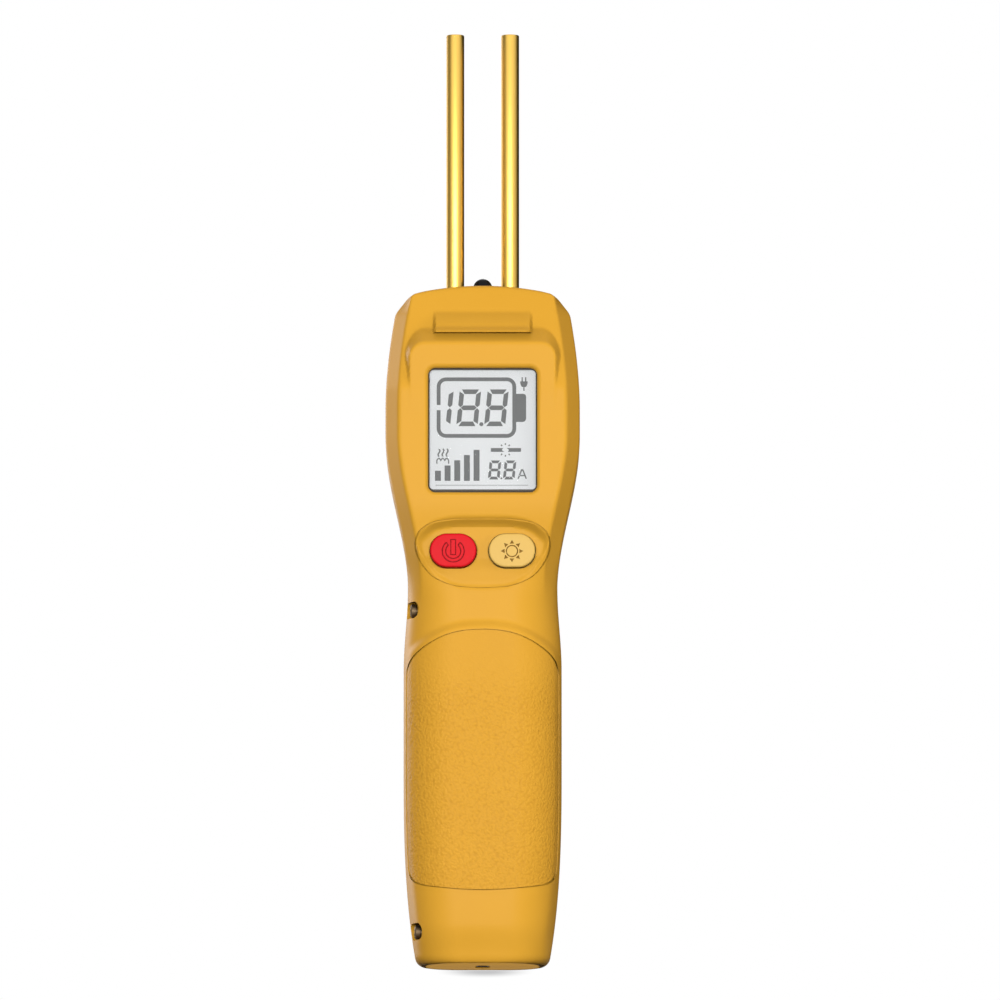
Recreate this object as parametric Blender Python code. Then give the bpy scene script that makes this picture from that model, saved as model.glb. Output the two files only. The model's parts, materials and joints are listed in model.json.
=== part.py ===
"""Cordless hot stapler: a hand-held plastic welder with a display, two buttons and two brass electrodes.

Frame: metres, +Z up along the electrodes, front face towards -Y, origin under the middle of the base.
Every height above the neck is measured from NECK_Z, so the head moves as one piece with it.
"""
import math

import bmesh
import bpy
from mathutils import Matrix, Vector

MM = 0.001
GAP = 0.3 * MM                    # clearance between neighbouring pieces
SEAM_Y = 2.0 * MM                 # where the front and rear shells meet

# Casing: heights
NECK_Z = 98.0 * MM                # narrowest place, just under the buttons
GRIP_WIDEST_Z = 54.0 * MM
GRIP_TOP_Z = 77.0 * MM
FACE_LOW_Z = NECK_Z + 23.0 * MM   # the face is upright from here
FACE_HIGH_Z = NECK_Z + 51.0 * MM  # the face leans back from here
HEAD_WIDE_Z = NECK_Z + 39.0 * MM
HEAD_WIDE_END_Z = NECK_Z + 46.0 * MM
SHOULDER_Z = NECK_Z + 71.6 * MM
CROWN_Z = NECK_Z + 76.5 * MM
TOP_Z = NECK_Z + 78.7 * MM

# Casing: half widths
BASE_HALF_WIDTH = 17.1 * MM
GRIP_HALF_WIDTH = 20.5 * MM
NECK_HALF_WIDTH = 19.4 * MM
HEAD_HALF_WIDTH = 25.2 * MM
SHOULDER_NARROWING = 2.5 * MM
CROWN_HALF_WIDTH = 18.3 * MM

# Battery cell, which sets how deep the grip is
CELL_RADIUS = 10.6 * MM
CELL_LENGTH = 70.2 * MM
CELL_LOW_Z = 13.6 * MM
STRIP_THICKNESS = 0.4 * MM
BATTERY_LEAD_RADIUS = 0.8 * MM
CRADLE_WALL = 1.2 * MM
CELL_FRONT_ROOM = 4.8 * MM
CELL_REAR_ROOM = 8.4 * MM
NECK_REAR_ROOM = 3.0 * MM

# Casing: depths in front of and behind the origin
BASE_FRONT = 13.0 * MM
BASE_REAR = 14.6 * MM
GRIP_FRONT = CELL_RADIUS + CELL_FRONT_ROOM
GRIP_REAR = CELL_RADIUS + CELL_REAR_ROOM
GRIP_BELLY_Z = 44.0 * MM
NECK_FRONT = 15.0 * MM
NECK_REAR = CELL_RADIUS + NECK_REAR_ROOM
HEAD_FRONT = 18.9 * MM
HEAD_REAR = 16.2 * MM
TOP_FRONT = 8.4 * MM
TOP_REAR = 12.6 * MM
WALL = 2.2 * MM
BASE_WALL = 2.5 * MM
TOP_WALL = 1.7 * MM
ROUNDING_END_Z = NECK_Z - 14.0 * MM
CHAMFER_FULL_Z = NECK_Z + 7.0 * MM
CHAMFER_WIDTH = 3.5 * MM
CHAMFER_DEPTH = 6.4 * MM
ROUND_WIDTH = 13.4 * MM           # how far in the rounding of the grip reaches
ROUND_DEPTH = 13.6 * MM
REAR_ROUND_WIDTH = 9.0 * MM
CORNER_STEPS = 5

# Display
PLATEAU_PROUD = 0.1 * MM
FACE_Y = -(HEAD_FRONT + PLATEAU_PROUD)
WINDOW_HALF_WIDTH = 14.1 * MM
WINDOW_LOW_Z = NECK_Z + 23.6 * MM
WINDOW_HIGH_Z = NECK_Z + 56.0 * MM
WINDOW_RADIUS = 1.9 * MM
WINDOW_SUNK = 0.25 * MM
WINDOW_THICKNESS = 1.1 * MM
BEZEL_WIDTH = 4.9 * MM
PLATEAU_TOP_Z = WINDOW_HIGH_Z + 6.6 * MM
PLATEAU_RADIUS = 4.0 * MM
PLATEAU_DRAFT = 0.72
GASKET_THICKNESS = 0.5 * MM
GASKET_OVERLAP = 0.7 * MM
GASKET_WIDTH = 1.6 * MM
LCD_THICKNESS = 1.7 * MM
LCD_OVERLAP = 0.9 * MM
POCKET_CLEARANCE = 0.4 * MM
FLEX_THICKNESS = 0.5 * MM
FLEX_HALF_WIDTH = 8.0 * MM

# Brow bar above the display
BROW_HALF_WIDTH = 12.75 * MM
BROW_LOW_Z = NECK_Z + 65.4 * MM
BROW_HIGH_Z = NECK_Z + 71.7 * MM
BROW_PROUD = 3.0 * MM
BROW_STEPS = 6

# Buttons and their recess
BUTTON_WIDTH = 12.2 * MM
BUTTON_HEIGHT = 9.2 * MM
BUTTON_RADIUS = 3.9 * MM
BUTTON_BETWEEN = 3.0 * MM
BUTTON_Z = NECK_Z + 8.4 * MM
BUTTON_TRAVEL = 0.5 * MM
BUTTON_PROUD = 2.0 * MM
BUTTON_BEVEL = 0.5 * MM
BUTTON_FLANGE = 0.8 * MM
BUTTON_FLANGE_THICKNESS = 0.75 * MM
BUTTON_X = (BUTTON_WIDTH + BUTTON_BETWEEN) / 2
SYMBOL_DEPTH = 0.25 * MM
ISLAND_FLOOR_Y = -15.3 * MM
ISLAND_WALL = 2.0 * MM
ISLAND_SIDE = 2.1 * MM
ISLAND_HALF_WIDTH = BUTTON_X + BUTTON_WIDTH / 2 + ISLAND_SIDE
ISLAND_TOP_Z = BUTTON_Z + BUTTON_HEIGHT / 2 + 2.0 * MM
ISLAND_LOW_Z = BUTTON_Z - BUTTON_HEIGHT / 2 - 4.6 * MM
ISLAND_DRAFT = 5.0 * MM

# Grip inlay
PAD_LOW_Z = 18.7 * MM
PAD_SMILE = 1.8 * MM
PAD_ARCH = 8.0 * MM
PAD_APEX_Z = NECK_Z - 12.0 * MM
PAD_MARGIN = 0.9 * MM
PAD_PROUD = 1.4 * MM
PAD_SUNK = 0.8 * MM
PAD_GROOVE = 0.35 * MM
PAD_REAR_Y = -6.5 * MM

# Main board, with its screws and what it carries
BOARD_THICKNESS = 1.6 * MM
SWITCH_THICKNESS = 1.4 * MM
SWITCH_HALF = 2.6 * MM
PLUNGER_RADIUS = 1.0 * MM
PLUNGER_LENGTH = 1.2 * MM
PLUNGER_CLEARANCE = 0.15 * MM
FLANGE_BACK_Y = ISLAND_FLOOR_Y + ISLAND_WALL + GAP + BUTTON_FLANGE_THICKNESS
PLUNGER_FRONT_Y = FLANGE_BACK_Y + GAP
SWITCH_FRONT_Y = PLUNGER_FRONT_Y + BUTTON_TRAVEL + 0.15 * MM
BOARD_FRONT_Y = SWITCH_FRONT_Y + SWITCH_THICKNESS + GAP
BOARD_BACK_Y = BOARD_FRONT_Y + BOARD_THICKNESS
CHIP_Y = BOARD_BACK_Y + GAP
BOARD_LOW_Z = NECK_Z - 8.0 * MM
BOARD_STEP_Z = NECK_Z + 19.0 * MM
BOARD_HIGH_Z = NECK_Z + 59.0 * MM
BOARD_LOW_HALF = NECK_HALF_WIDTH - 5.4 * MM
SCREW_RADIUS = 0.9 * MM
SCREW_HEAD_RADIUS = 1.8 * MM
SCREW_HEAD_HEIGHT = 1.1 * MM
BOARD_SCREW_LENGTH = 4.6 * MM
BOSS_WALL = 1.1 * MM

# Electrodes, their block and the lamp between them
ROD_RADIUS = 2.35 * MM
ROD_BETWEEN = 9.6 * MM
ROD_X = ROD_RADIUS + ROD_BETWEEN / 2
ROD_OUT = 66.9 * MM
ROD_TIP_CHAMFER = 0.35 * MM
STAPLE_HOLE_RADIUS = 0.7 * MM
STAPLE_HOLE_DEPTH = 8.0 * MM
BLOCK_WALL = 3.2 * MM
BLOCK_LENGTH = 15.5 * MM
BLOCK_FRONT = 7.5 * MM
BLOCK_REAR = 7.5 * MM
LAMP_RADIUS = 2.5 * MM
LAMP_OUT = 3.0 * MM
LAMP_FLANGE = 0.4 * MM
LAMP_FLANGE_HEIGHT = 1.0 * MM
LAMP_BODY = 6.2 * MM
HOLDER_WALL = 1.1 * MM
LAMP_LEAD_RADIUS = 0.3 * MM
LAMP_LEAD_X = 1.27 * MM
CLAMP_RADIUS = 1.5 * MM
LUG_THICKNESS = 0.8 * MM
LEAD_RADIUS = 1.1 * MM
MOSFET_X = 9.0 * MM
MOSFET_HEIGHT = 2.2 * MM
MOSFET_Z = NECK_Z + 31.0 * MM

# Charging port and its board
PORT_HALF_X = 1.6 * MM
PORT_HALF_Y = 4.45 * MM
PORT_DEPTH = 7.3 * MM
PORT_METAL = 0.35 * MM
PORT_LOW_Z = 0.3 * MM
CHARGE_BOARD_THICKNESS = 1.0 * MM
CHARGE_BOARD_LOW_Z = 3.1 * MM
CHARGE_BOARD_HIGH_Z = 11.8 * MM
CHARGE_BOARD_HALF = 8.6 * MM
RIB = 1.4 * MM

# Side screws that hold the shells together
SIDE_SCREW_Y = -4.5 * MM
SIDE_SCREW_LOW_Z = 8.5 * MM
SIDE_SCREW_HIGH_Z = NECK_Z - 6.0 * MM
SIDE_RECESS_RADIUS = 2.2 * MM
SIDE_RECESS_DEPTH = 2.6 * MM
SIDE_HEAD_RADIUS = 1.9 * MM
SIDE_HEAD_HEIGHT = 1.5 * MM
SIDE_SHANK_RADIUS = 1.1 * MM
SIDE_BOSS_RADIUS = 3.2 * MM
SIDE_SEAT = 2.0 * MM              # plastic under the screw head
SIDE_THREAD = 6.5 * MM


# ---------------------------------------------------------------- shape of the casing

def ease(share):
    """Smooth step from 0 to 1."""
    share = min(max(share, 0.0), 1.0)
    return share * share * (3.0 - 2.0 * share)


def between(z, low_z, high_z, low_value, high_value):
    return low_value + (high_value - low_value) * ease((z - low_z) / (high_z - low_z))


def half_width(z):
    """Half the casing's width at one height."""
    if z < GRIP_WIDEST_Z:
        return GRIP_HALF_WIDTH - (GRIP_HALF_WIDTH - BASE_HALF_WIDTH) * (1.0 - z / GRIP_WIDEST_Z) ** 3
    if z < NECK_Z:
        return between(z, GRIP_TOP_Z, NECK_Z, GRIP_HALF_WIDTH, NECK_HALF_WIDTH)
    if z < HEAD_WIDE_END_Z:
        return between(z, NECK_Z, HEAD_WIDE_Z, NECK_HALF_WIDTH, HEAD_HALF_WIDTH)
    if z < SHOULDER_Z:
        share = (z - HEAD_WIDE_END_Z) / (SHOULDER_Z - HEAD_WIDE_END_Z)
        return HEAD_HALF_WIDTH - SHOULDER_NARROWING * share ** 1.8
    shoulder = HEAD_HALF_WIDTH - SHOULDER_NARROWING
    if z < CROWN_Z:
        return shoulder + (CROWN_HALF_WIDTH - shoulder) * (z - SHOULDER_Z) / (CROWN_Z - SHOULDER_Z)
    return CROWN_HALF_WIDTH * math.sqrt(max(TOP_Z - z, 0.0) / (TOP_Z - CROWN_Z))


def front_depth(z):
    """How far the casing reaches in front of the origin at one height."""
    if z < GRIP_WIDEST_Z:
        return GRIP_FRONT - (GRIP_FRONT - BASE_FRONT) * (1.0 - z / GRIP_WIDEST_Z) ** 3
    if z < NECK_Z:
        return between(z, GRIP_WIDEST_Z, NECK_Z, GRIP_FRONT, NECK_FRONT)
    if z < FACE_HIGH_Z:
        return between(z, NECK_Z, FACE_LOW_Z, NECK_FRONT, HEAD_FRONT)
    return HEAD_FRONT + (TOP_FRONT - HEAD_FRONT) * (z - FACE_HIGH_Z) / (TOP_Z - FACE_HIGH_Z)


def rear_depth(z):
    """How far the casing reaches behind the origin at one height."""
    if z < GRIP_BELLY_Z:
        return GRIP_REAR - (GRIP_REAR - BASE_REAR) * (1.0 - z / GRIP_BELLY_Z) ** 2
    if z < NECK_Z:
        return between(z, GRIP_BELLY_Z, NECK_Z, GRIP_REAR, NECK_REAR)
    if z < SHOULDER_Z:
        return between(z, NECK_Z, HEAD_WIDE_Z, NECK_REAR, HEAD_REAR)
    return between(z, SHOULDER_Z, TOP_Z, HEAD_REAR, TOP_REAR)


def corner(reach_x, reach_y, start_x, start_y, power):
    """Points from the side (start_x + reach_x, start_y) to the face (start_x, start_y + reach_y)."""
    points = []
    for step in range(CORNER_STEPS + 1):
        turn = math.pi / 2 * step / CORNER_STEPS
        x = start_x + reach_x * math.cos(turn) ** power
        y = start_y + reach_y * math.sin(turn) ** power
        points.append((x, y))
    return points


def front_half(z, inset=0.0, depth_limit=None):
    """Right half of the front of one section, from the side to the face."""
    head = ease((z - ROUNDING_END_Z) / (CHAMFER_FULL_Z - ROUNDING_END_Z))
    width = half_width(z)
    depth = front_depth(z)
    reach_x = min(ROUND_WIDTH + (CHAMFER_WIDTH - ROUND_WIDTH) * head, 0.66 * width)
    reach_y = min(ROUND_DEPTH + (CHAMFER_DEPTH - ROUND_DEPTH) * head, depth - 1.0 * MM)
    start_x = width - reach_x
    start_y = depth - reach_y
    if inset:
        width -= inset
        depth -= inset
        if depth_limit is not None:
            depth = min(depth, depth_limit)
        start_x = max(start_x - 0.6 * inset, 0.3 * width)
        start_y = min(start_y, depth - 0.5 * MM)
    points = corner(width - start_x, depth - start_y, start_x, start_y, 1.0 + head)
    return [(x, -y) for x, y in points]


def rear_half(z, inset=0.0):
    """Right half of the rear of one section, from the side to the back."""
    width = half_width(z) - inset
    depth = rear_depth(z) - inset
    start_x = width - min(REAR_ROUND_WIDTH, 0.7 * width)
    start_y = SEAM_Y + 0.25 * (depth - SEAM_Y)
    return corner(width - start_x, depth - start_y, start_x, start_y, 1.0)


def mirrored(points):
    return [(-x, y) for x, y in reversed(points)]


def stations(low, high):
    """Heights at which the casing's sections are drawn."""
    marks = [low, high, GRIP_TOP_Z, GRIP_BELLY_Z, NECK_Z, FACE_HIGH_Z, HEAD_WIDE_END_Z, SHOULDER_Z, CROWN_Z]
    marks += [(4 + 8 * step) * MM for step in range(5)]
    marks += [GRIP_TOP_Z - 12 * MM, (GRIP_TOP_Z + NECK_Z) / 2]
    marks += [NECK_Z + (HEAD_WIDE_Z - NECK_Z) * step / 6 for step in range(1, 7)]
    marks += [HEAD_WIDE_END_Z + (SHOULDER_Z - HEAD_WIDE_END_Z) * step / 3 for step in (1, 2)]
    marks += [TOP_Z - (TOP_Z - CROWN_Z) * share * share for share in (0.66, 0.33)]
    kept = sorted(mark for mark in marks if low <= mark <= high)
    return [mark for place, mark in enumerate(kept) if place == 0 or mark - kept[place - 1] > 0.2 * MM]


# ---------------------------------------------------------------- modelling helpers

def clear_scene():
    for item in list(bpy.data.objects):
        bpy.data.objects.remove(item, do_unlink=True)


def material(name, color, roughness, metallic=0.0):
    made = bpy.data.materials.new(name)
    made.use_nodes = True
    shader = made.node_tree.nodes["Principled BSDF"]
    shader.inputs["Base Color"].default_value = (*color, 1.0)
    shader.inputs["Roughness"].default_value = roughness
    shader.inputs["Metallic"].default_value = metallic
    return made


def finish_shape(name, shape, surface=None):
    """Turn a bmesh into a named object with its faces pointing out."""
    bmesh.ops.recalc_face_normals(shape, faces=shape.faces)
    mesh = bpy.data.meshes.new(name)
    shape.to_mesh(mesh)
    shape.free()
    item = bpy.data.objects.new(name, mesh)
    bpy.context.scene.collection.objects.link(item)
    if surface is not None:
        mesh.materials.append(surface)
    return item


def smooth(item, angle=35.0):
    item.data.shade_smooth()
    item.data.set_sharp_from_angle(angle=math.radians(angle))
    return item


def loft(name, rings, surface=None):
    """Closed solid through rings that have the same number of points."""
    shape = bmesh.new()
    made = [[shape.verts.new(point) for point in ring] for ring in rings]
    count = len(made[0])
    for lower, upper in zip(made, made[1:]):
        for place in range(count):
            after = (place + 1) % count
            shape.faces.new((lower[place], lower[after], upper[after], upper[place]))
    shape.faces.new(list(reversed(made[0])))
    shape.faces.new(made[-1])
    return finish_shape(name, shape, surface)


def prism(name, outline, low_y, high_y, surface=None):
    """Outline in X and Z, extruded along Y."""
    rings = [[(x, y, z) for x, z in outline] for y in (low_y, high_y)]
    return loft(name, rings, surface)


def block(name, low, high, surface=None):
    outline = [(low[0], low[2]), (high[0], low[2]), (high[0], high[2]), (low[0], high[2])]
    return prism(name, outline, low[1], high[1], surface)


def turned(name, profile, centre, axis, surface=None, sides=16):
    """Solid of revolution: profile is a list of (radius, distance along axis).

    A profile that starts and ends at radius 0 is a full solid, any other is a closed ring.
    """
    direction = Vector(axis).normalized()
    turn = Vector((0.0, 0.0, 1.0)).rotation_difference(direction).to_matrix().to_4x4()
    place = Matrix.Translation(Vector(centre)) @ turn
    solid = profile[0][0] == 0.0
    shape = bmesh.new()
    rings = []
    for radius, height in (profile[1:-1] if solid else profile):
        ring = []
        for side in range(sides):
            angle = 2.0 * math.pi * (side + 0.5) / sides
            point = Vector((radius * math.cos(angle), radius * math.sin(angle), height))
            ring.append(shape.verts.new(place @ point))
        rings.append(ring)
    pairs = list(zip(rings, rings[1:]))
    if not solid:
        pairs.append((rings[-1], rings[0]))
    for lower, upper in pairs:
        for side in range(sides):
            after = (side + 1) % sides
            shape.faces.new((lower[side], lower[after], upper[after], upper[side]))
    if solid:
        shape.faces.new(list(reversed(rings[0])))
        shape.faces.new(rings[-1])
    return smooth(finish_shape(name, shape, surface))


def cylinder(name, start, end, radius, surface=None, sides=16):
    axis = Vector(end) - Vector(start)
    profile = [(0.0, 0.0), (radius, 0.0), (radius, axis.length), (0.0, axis.length)]
    return turned(name, profile, start, axis, surface, sides)


def smooth_route(points, steps=4):
    """Points along a Catmull-Rom curve through the given ones."""
    knots = [Vector(point) for point in points]
    knots = [2 * knots[0] - knots[1], *knots, 2 * knots[-1] - knots[-2]]
    route = []
    for a, b, c, d in zip(knots, knots[1:], knots[2:], knots[3:]):
        for step in range(steps):
            t = step / steps
            route.append(0.5 * (2 * b + (c - a) * t + (2 * a - 5 * b + 4 * c - d) * t * t
                                + (3 * b - a - 3 * c + d) * t ** 3))
    route.append(knots[-2])
    return route


def wire(name, points, radius, surface, steps=4):
    """Round wire with filled ends along a smooth route."""
    curve = bpy.data.curves.new(name, "CURVE")
    curve.dimensions = "3D"
    curve.bevel_depth = radius
    curve.bevel_resolution = 2
    curve.use_fill_caps = True
    route = smooth_route(points, steps)
    spline = curve.splines.new("POLY")
    spline.points.add(len(route) - 1)
    for knot, point in zip(spline.points, route):
        knot.co = (*point, 1.0)
    curve.materials.append(surface)
    item = bpy.data.objects.new(name, curve)
    bpy.context.scene.collection.objects.link(item)
    return item


def combine(target, tool, operation):
    """Apply one Boolean to the target and remove the tool."""
    modifier = target.modifiers.new("combine", "BOOLEAN")
    modifier.operation = operation
    modifier.solver = "EXACT"
    modifier.object = tool
    graph = bpy.context.evaluated_depsgraph_get()
    graph.update()
    mesh = bpy.data.meshes.new_from_object(target.evaluated_get(graph))
    target.modifiers.clear()
    target.data = mesh
    bpy.data.objects.remove(tool, do_unlink=True)
    return target


def cut(target, tool):
    return combine(target, tool, "DIFFERENCE")


def join(target, tool):
    return combine(target, tool, "UNION")


def keep_inside(target, tool):
    return combine(target, tool, "INTERSECT")


def rounded_rectangle(half_x, low_z, high_z, radius, steps=3):
    """Outline in X and Z with round corners, centred on X = 0."""
    outline = []
    corners = ((half_x - radius, low_z + radius, -90), (half_x - radius, high_z - radius, 0),
               (radius - half_x, high_z - radius, 90), (radius - half_x, low_z + radius, 180))
    for x, z, start in corners:
        for step in range(steps + 1):
            angle = math.radians(start + 90 * step / steps)
            outline.append((x + radius * math.cos(angle), z + radius * math.sin(angle)))
    return outline


def moved(outline, dx):
    return [(x + dx, z) for x, z in outline]


# ---------------------------------------------------------------- casing

def core(name, inset, low, high, depth_limit=None):
    """The casing's outer form drawn in by an inset, as one solid."""
    rings = []
    for z in stations(low, high):
        limit = depth_limit(z) if depth_limit else None
        front = front_half(z, inset, limit)
        rear = rear_half(z, inset)
        ring = rear + mirrored(rear) + [(-x, y) for x, y in front] + list(reversed(front))
        rings.append([(x, y, z) for x, y in ring])
    return loft(name, rings)


def shell_form(name, half, seam_y, surface):
    """Solid front or rear half of the casing, flat at the seam."""
    rings = []
    for z in stations(0.0, TOP_Z - 0.1 * MM):
        foot = 1.0 * MM * max(0.0, 1.0 - z / (1.6 * MM))
        side = half(z, foot)
        width = side[0][0]
        ring = [(width, seam_y)] + side + mirrored(side) + [(-width, seam_y)]
        rings.append([(x, y, z) for x, y in ring])
    return loft(name, rings, surface)


def island_outline(grow=0.0):
    """D shape round the buttons: flat top, sides drawn in to a short bottom edge."""
    width = ISLAND_HALF_WIDTH + grow
    top = ISLAND_TOP_Z + grow
    low = ISLAND_LOW_Z - 0.3 * grow
    side_z = BUTTON_Z + 1.8 * MM
    right = [(0.30 * width, low), (0.62 * width, low + 1.6 * MM), (0.86 * width, low + 4.8 * MM),
             (0.97 * width, side_z - 2.4 * MM), (width, side_z), (0.97 * width, side_z + 2.3 * MM),
             (0.83 * width, top - 1.0 * MM), (0.55 * width, top)]
    return right + [(-x, z) for x, z in reversed(right)]


def pad_outline(grow=0.0):
    """Grip inlay seen from the front: smile below, arch above, sides along the casing."""
    low = PAD_LOW_Z - grow
    apex = PAD_APEX_Z + grow
    side_low = half_width(low + PAD_SMILE) - 2.5 * MM + grow
    side_high = half_width(apex - PAD_ARCH) - PAD_MARGIN + grow
    outline = []
    for step in range(9):
        share = -1.0 + step / 4
        outline.append((side_low * share, low + PAD_SMILE * share * share))
    heights = [low + 5.0 * MM, low + 18.0 * MM, low + 36.0 * MM]
    right = [(half_width(z) - PAD_MARGIN + grow, z) for z in heights]
    arch = [(side_high * share, apex - PAD_ARCH * share * share) for share in
            (1.0, 0.8, 0.6, 0.4, 0.2, 0.0, -0.2, -0.4, -0.6, -0.8, -1.0)]
    return outline + right + arch + [(-x, z) for x, z in reversed(right)]


def window_outline(grow=0.0):
    return rounded_rectangle(WINDOW_HALF_WIDTH + grow, WINDOW_LOW_Z - grow, WINDOW_HIGH_Z + grow, WINDOW_RADIUS)


def inner_front_limit(z):
    """The wall is thicker behind the buttons, where the recess is."""
    behind = ISLAND_LOW_Z - 3.0 * MM < z < ISLAND_TOP_Z + 4.5 * MM
    return -ISLAND_FLOOR_Y - ISLAND_WALL if behind else None


def cavity():
    return core("cavity", WALL, BASE_WALL, CROWN_Z - TOP_WALL, inner_front_limit)


def boss(name, start, end, radius):
    return cylinder(name, start, end, radius, sides=10)


def board_screw_places():
    """X and Z of the four screws: two beside the display pocket, two under the buttons."""
    upper_x = pocket_half_width() + SCREW_RADIUS + GAP + BOSS_WALL + 0.2 * MM
    lower_x = BOARD_LOW_HALF - 3.2 * MM
    upper_z = WINDOW_HIGH_Z - 8.0 * MM
    lower_z = BOARD_LOW_Z + 9.0 * MM
    return [(-upper_x, upper_z), (upper_x, upper_z), (-lower_x, lower_z), (lower_x, lower_z)]


def lcd_half_width():
    return WINDOW_HALF_WIDTH + LCD_OVERLAP


def pocket_half_width():
    return lcd_half_width() + POCKET_CLEARANCE


def lip_back_y():
    return FACE_Y + WINDOW_SUNK + WINDOW_THICKNESS


def gasket_front_y():
    return lip_back_y() + GAP


def lcd_front_y():
    return gasket_front_y() + GASKET_THICKNESS + GAP


def side_boss_reach(z):
    """X of the inner end of the front shell's screw boss."""
    return half_width(z) - SIDE_RECESS_DEPTH - SIDE_SEAT - 2.6 * MM


def make_front_shell(surface):
    shell = shell_form("front_shell", front_half, SEAM_Y - GAP / 2, surface)
    join(shell, plateau())
    join(shell, brow_bar())
    cut(shell, cavity())
    inside = GAP + SCREW_RADIUS + BOSS_WALL
    for x, z in board_screw_places():
        root = core("boss_core", 1.0 * MM, z - 4 * MM, z + 4 * MM)
        post = boss("post", (x, -HEAD_FRONT, z), (x, BOARD_FRONT_Y - GAP, z), inside)
        join(shell, keep_inside(post, root))
    for z in (SIDE_SCREW_LOW_Z, SIDE_SCREW_HIGH_Z):
        root = core("boss_core", 1.0 * MM, z - 5 * MM, z + 5 * MM)
        outer, inner = -half_width(z), -side_boss_reach(z)
        post = boss("post", (outer, SIDE_SCREW_Y, z), (inner, SIDE_SCREW_Y, z), SIDE_BOSS_RADIUS)
        join(shell, keep_inside(post, root))
    for rib in charge_board_ribs(-1):
        join(shell, rib)
    pocket = rounded_rectangle(pocket_half_width(), pocket_low_z(), pocket_high_z(), 0.8 * MM, 1)
    cut(shell, prism("pocket", pocket, lip_back_y(), BOARD_FRONT_Y))
    cut(shell, prism("opening", window_outline(), FACE_Y - 5 * MM, lip_back_y() + 0.5 * MM))
    floor = [(x, ISLAND_FLOOR_Y, z) for x, z in island_outline()]
    mouth = [(x, ISLAND_FLOOR_Y - ISLAND_DRAFT, z) for x, z in island_outline(ISLAND_DRAFT)]
    cut(shell, loft("recess", [mouth, floor]))
    for side in (-1, 1):
        hole = moved(button_outline(GAP), side * BUTTON_X)
        cut(shell, prism("hole", hole, -HEAD_FRONT, ISLAND_FLOOR_Y + ISLAND_WALL + 1 * MM))
        room = moved(button_outline(BUTTON_FLANGE + GAP), side * BUTTON_X)
        cut(shell, prism("flange_room", room, ISLAND_FLOOR_Y + ISLAND_WALL, BOARD_FRONT_Y))
    for x, z in board_screw_places():
        start = BOARD_BACK_Y - BOARD_SCREW_LENGTH
        cut(shell, cylinder("pilot", (x, start, z), (x, BOARD_FRONT_Y, z), SCREW_RADIUS + GAP, sides=10))
    cut_side_screw_holes(shell)
    inlay = prism("inlay", pad_outline(PAD_GROOVE), -GRIP_FRONT - 5 * MM, PAD_REAR_Y + PAD_GROOVE)
    cut(inlay, core("inlay_core", PAD_SUNK, 5 * MM, NECK_Z))
    cut(shell, inlay)
    cut_seam_holes(shell)
    return smooth(shell)


def pocket_low_z():
    return WINDOW_LOW_Z - LCD_OVERLAP - 2.5 * MM


def pocket_high_z():
    return WINDOW_HIGH_Z + LCD_OVERLAP + POCKET_CLEARANCE


def plateau():
    """Raised surround of the display: upright face, drafted top, round upper corners."""
    half = WINDOW_HALF_WIDTH + BEZEL_WIDTH
    reach = 6.5 * MM
    low = WINDOW_LOW_Z - 3.0 * MM
    root_top = PLATEAU_TOP_Z + reach * PLATEAU_DRAFT
    face = [(x, FACE_Y, z) for x, z in plateau_outline(half, low, PLATEAU_TOP_Z)]
    root = [(x, FACE_Y + reach, z) for x, z in plateau_outline(half, low, root_top)]
    return loft("plateau", [face, root])


def plateau_outline(half, low, high):
    outline = [(-half, low), (half, low)]
    for step in range(4):
        angle = math.radians(90 * step / 3)
        x = half - PLATEAU_RADIUS * (1 - math.cos(angle))
        outline.append((x, high - PLATEAU_RADIUS * (1 - math.sin(angle))))
    upper_left = [(-x, z) for x, z in reversed(outline[2:])]
    return outline + upper_left


def brow_bar():
    """Hump across the head: a crisp lower edge that curves back up to the slope."""
    low_y = -front_depth(BROW_LOW_Z)
    high_y = -front_depth(BROW_HIGH_Z)
    profile = [(low_y + 1.5 * MM, BROW_LOW_Z), (low_y - BROW_PROUD, BROW_LOW_Z)]
    for step in range(1, BROW_STEPS + 1):
        share = step / BROW_STEPS
        lift = BROW_PROUD * math.cos(share * math.pi / 2) + 0.3 * MM * share
        z = BROW_LOW_Z + (BROW_HIGH_Z - BROW_LOW_Z) * share
        profile.append((low_y + (high_y - low_y) * share - lift, z))
    profile.append((high_y + 1.5 * MM, BROW_HIGH_Z))
    rings = [[(x, y, z) for y, z in profile] for x in (-BROW_HALF_WIDTH, BROW_HALF_WIDTH)]
    return loft("brow", rings)


def cut_side_screw_holes(shell):
    """Recess, seat and through hole of each side screw, in the front shell's left side."""
    for z in (SIDE_SCREW_LOW_Z, SIDE_SCREW_HIGH_Z):
        outside = -half_width(z) - 2 * MM
        floor = -half_width(z) + SIDE_RECESS_DEPTH
        inner = -side_boss_reach(z) + 1 * MM
        cut(shell, cylinder("recess", (outside, SIDE_SCREW_Y, z), (floor, SIDE_SCREW_Y, z), SIDE_RECESS_RADIUS))
        cut(shell, cylinder("through", (floor - 1 * MM, SIDE_SCREW_Y, z), (inner, SIDE_SCREW_Y, z),
                            SIDE_SHANK_RADIUS + GAP, sides=12))


def cut_seam_holes(shell):
    """Holes that lie on the seam: two electrodes and the lamp above, the charging port below."""
    low, high = CROWN_Z - 6 * MM, TOP_Z + 3 * MM
    for x in (-ROD_X, ROD_X):
        cut(shell, cylinder("rod_hole", (x, SEAM_Y, low), (x, SEAM_Y, high), ROD_RADIUS + GAP, sides=20))
    cut(shell, cylinder("lamp_hole", (0, SEAM_Y, low), (0, SEAM_Y, high), LAMP_RADIUS + GAP))
    cut(shell, port_form("port_hole", GAP, -1 * MM, BASE_WALL + 1 * MM))


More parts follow.
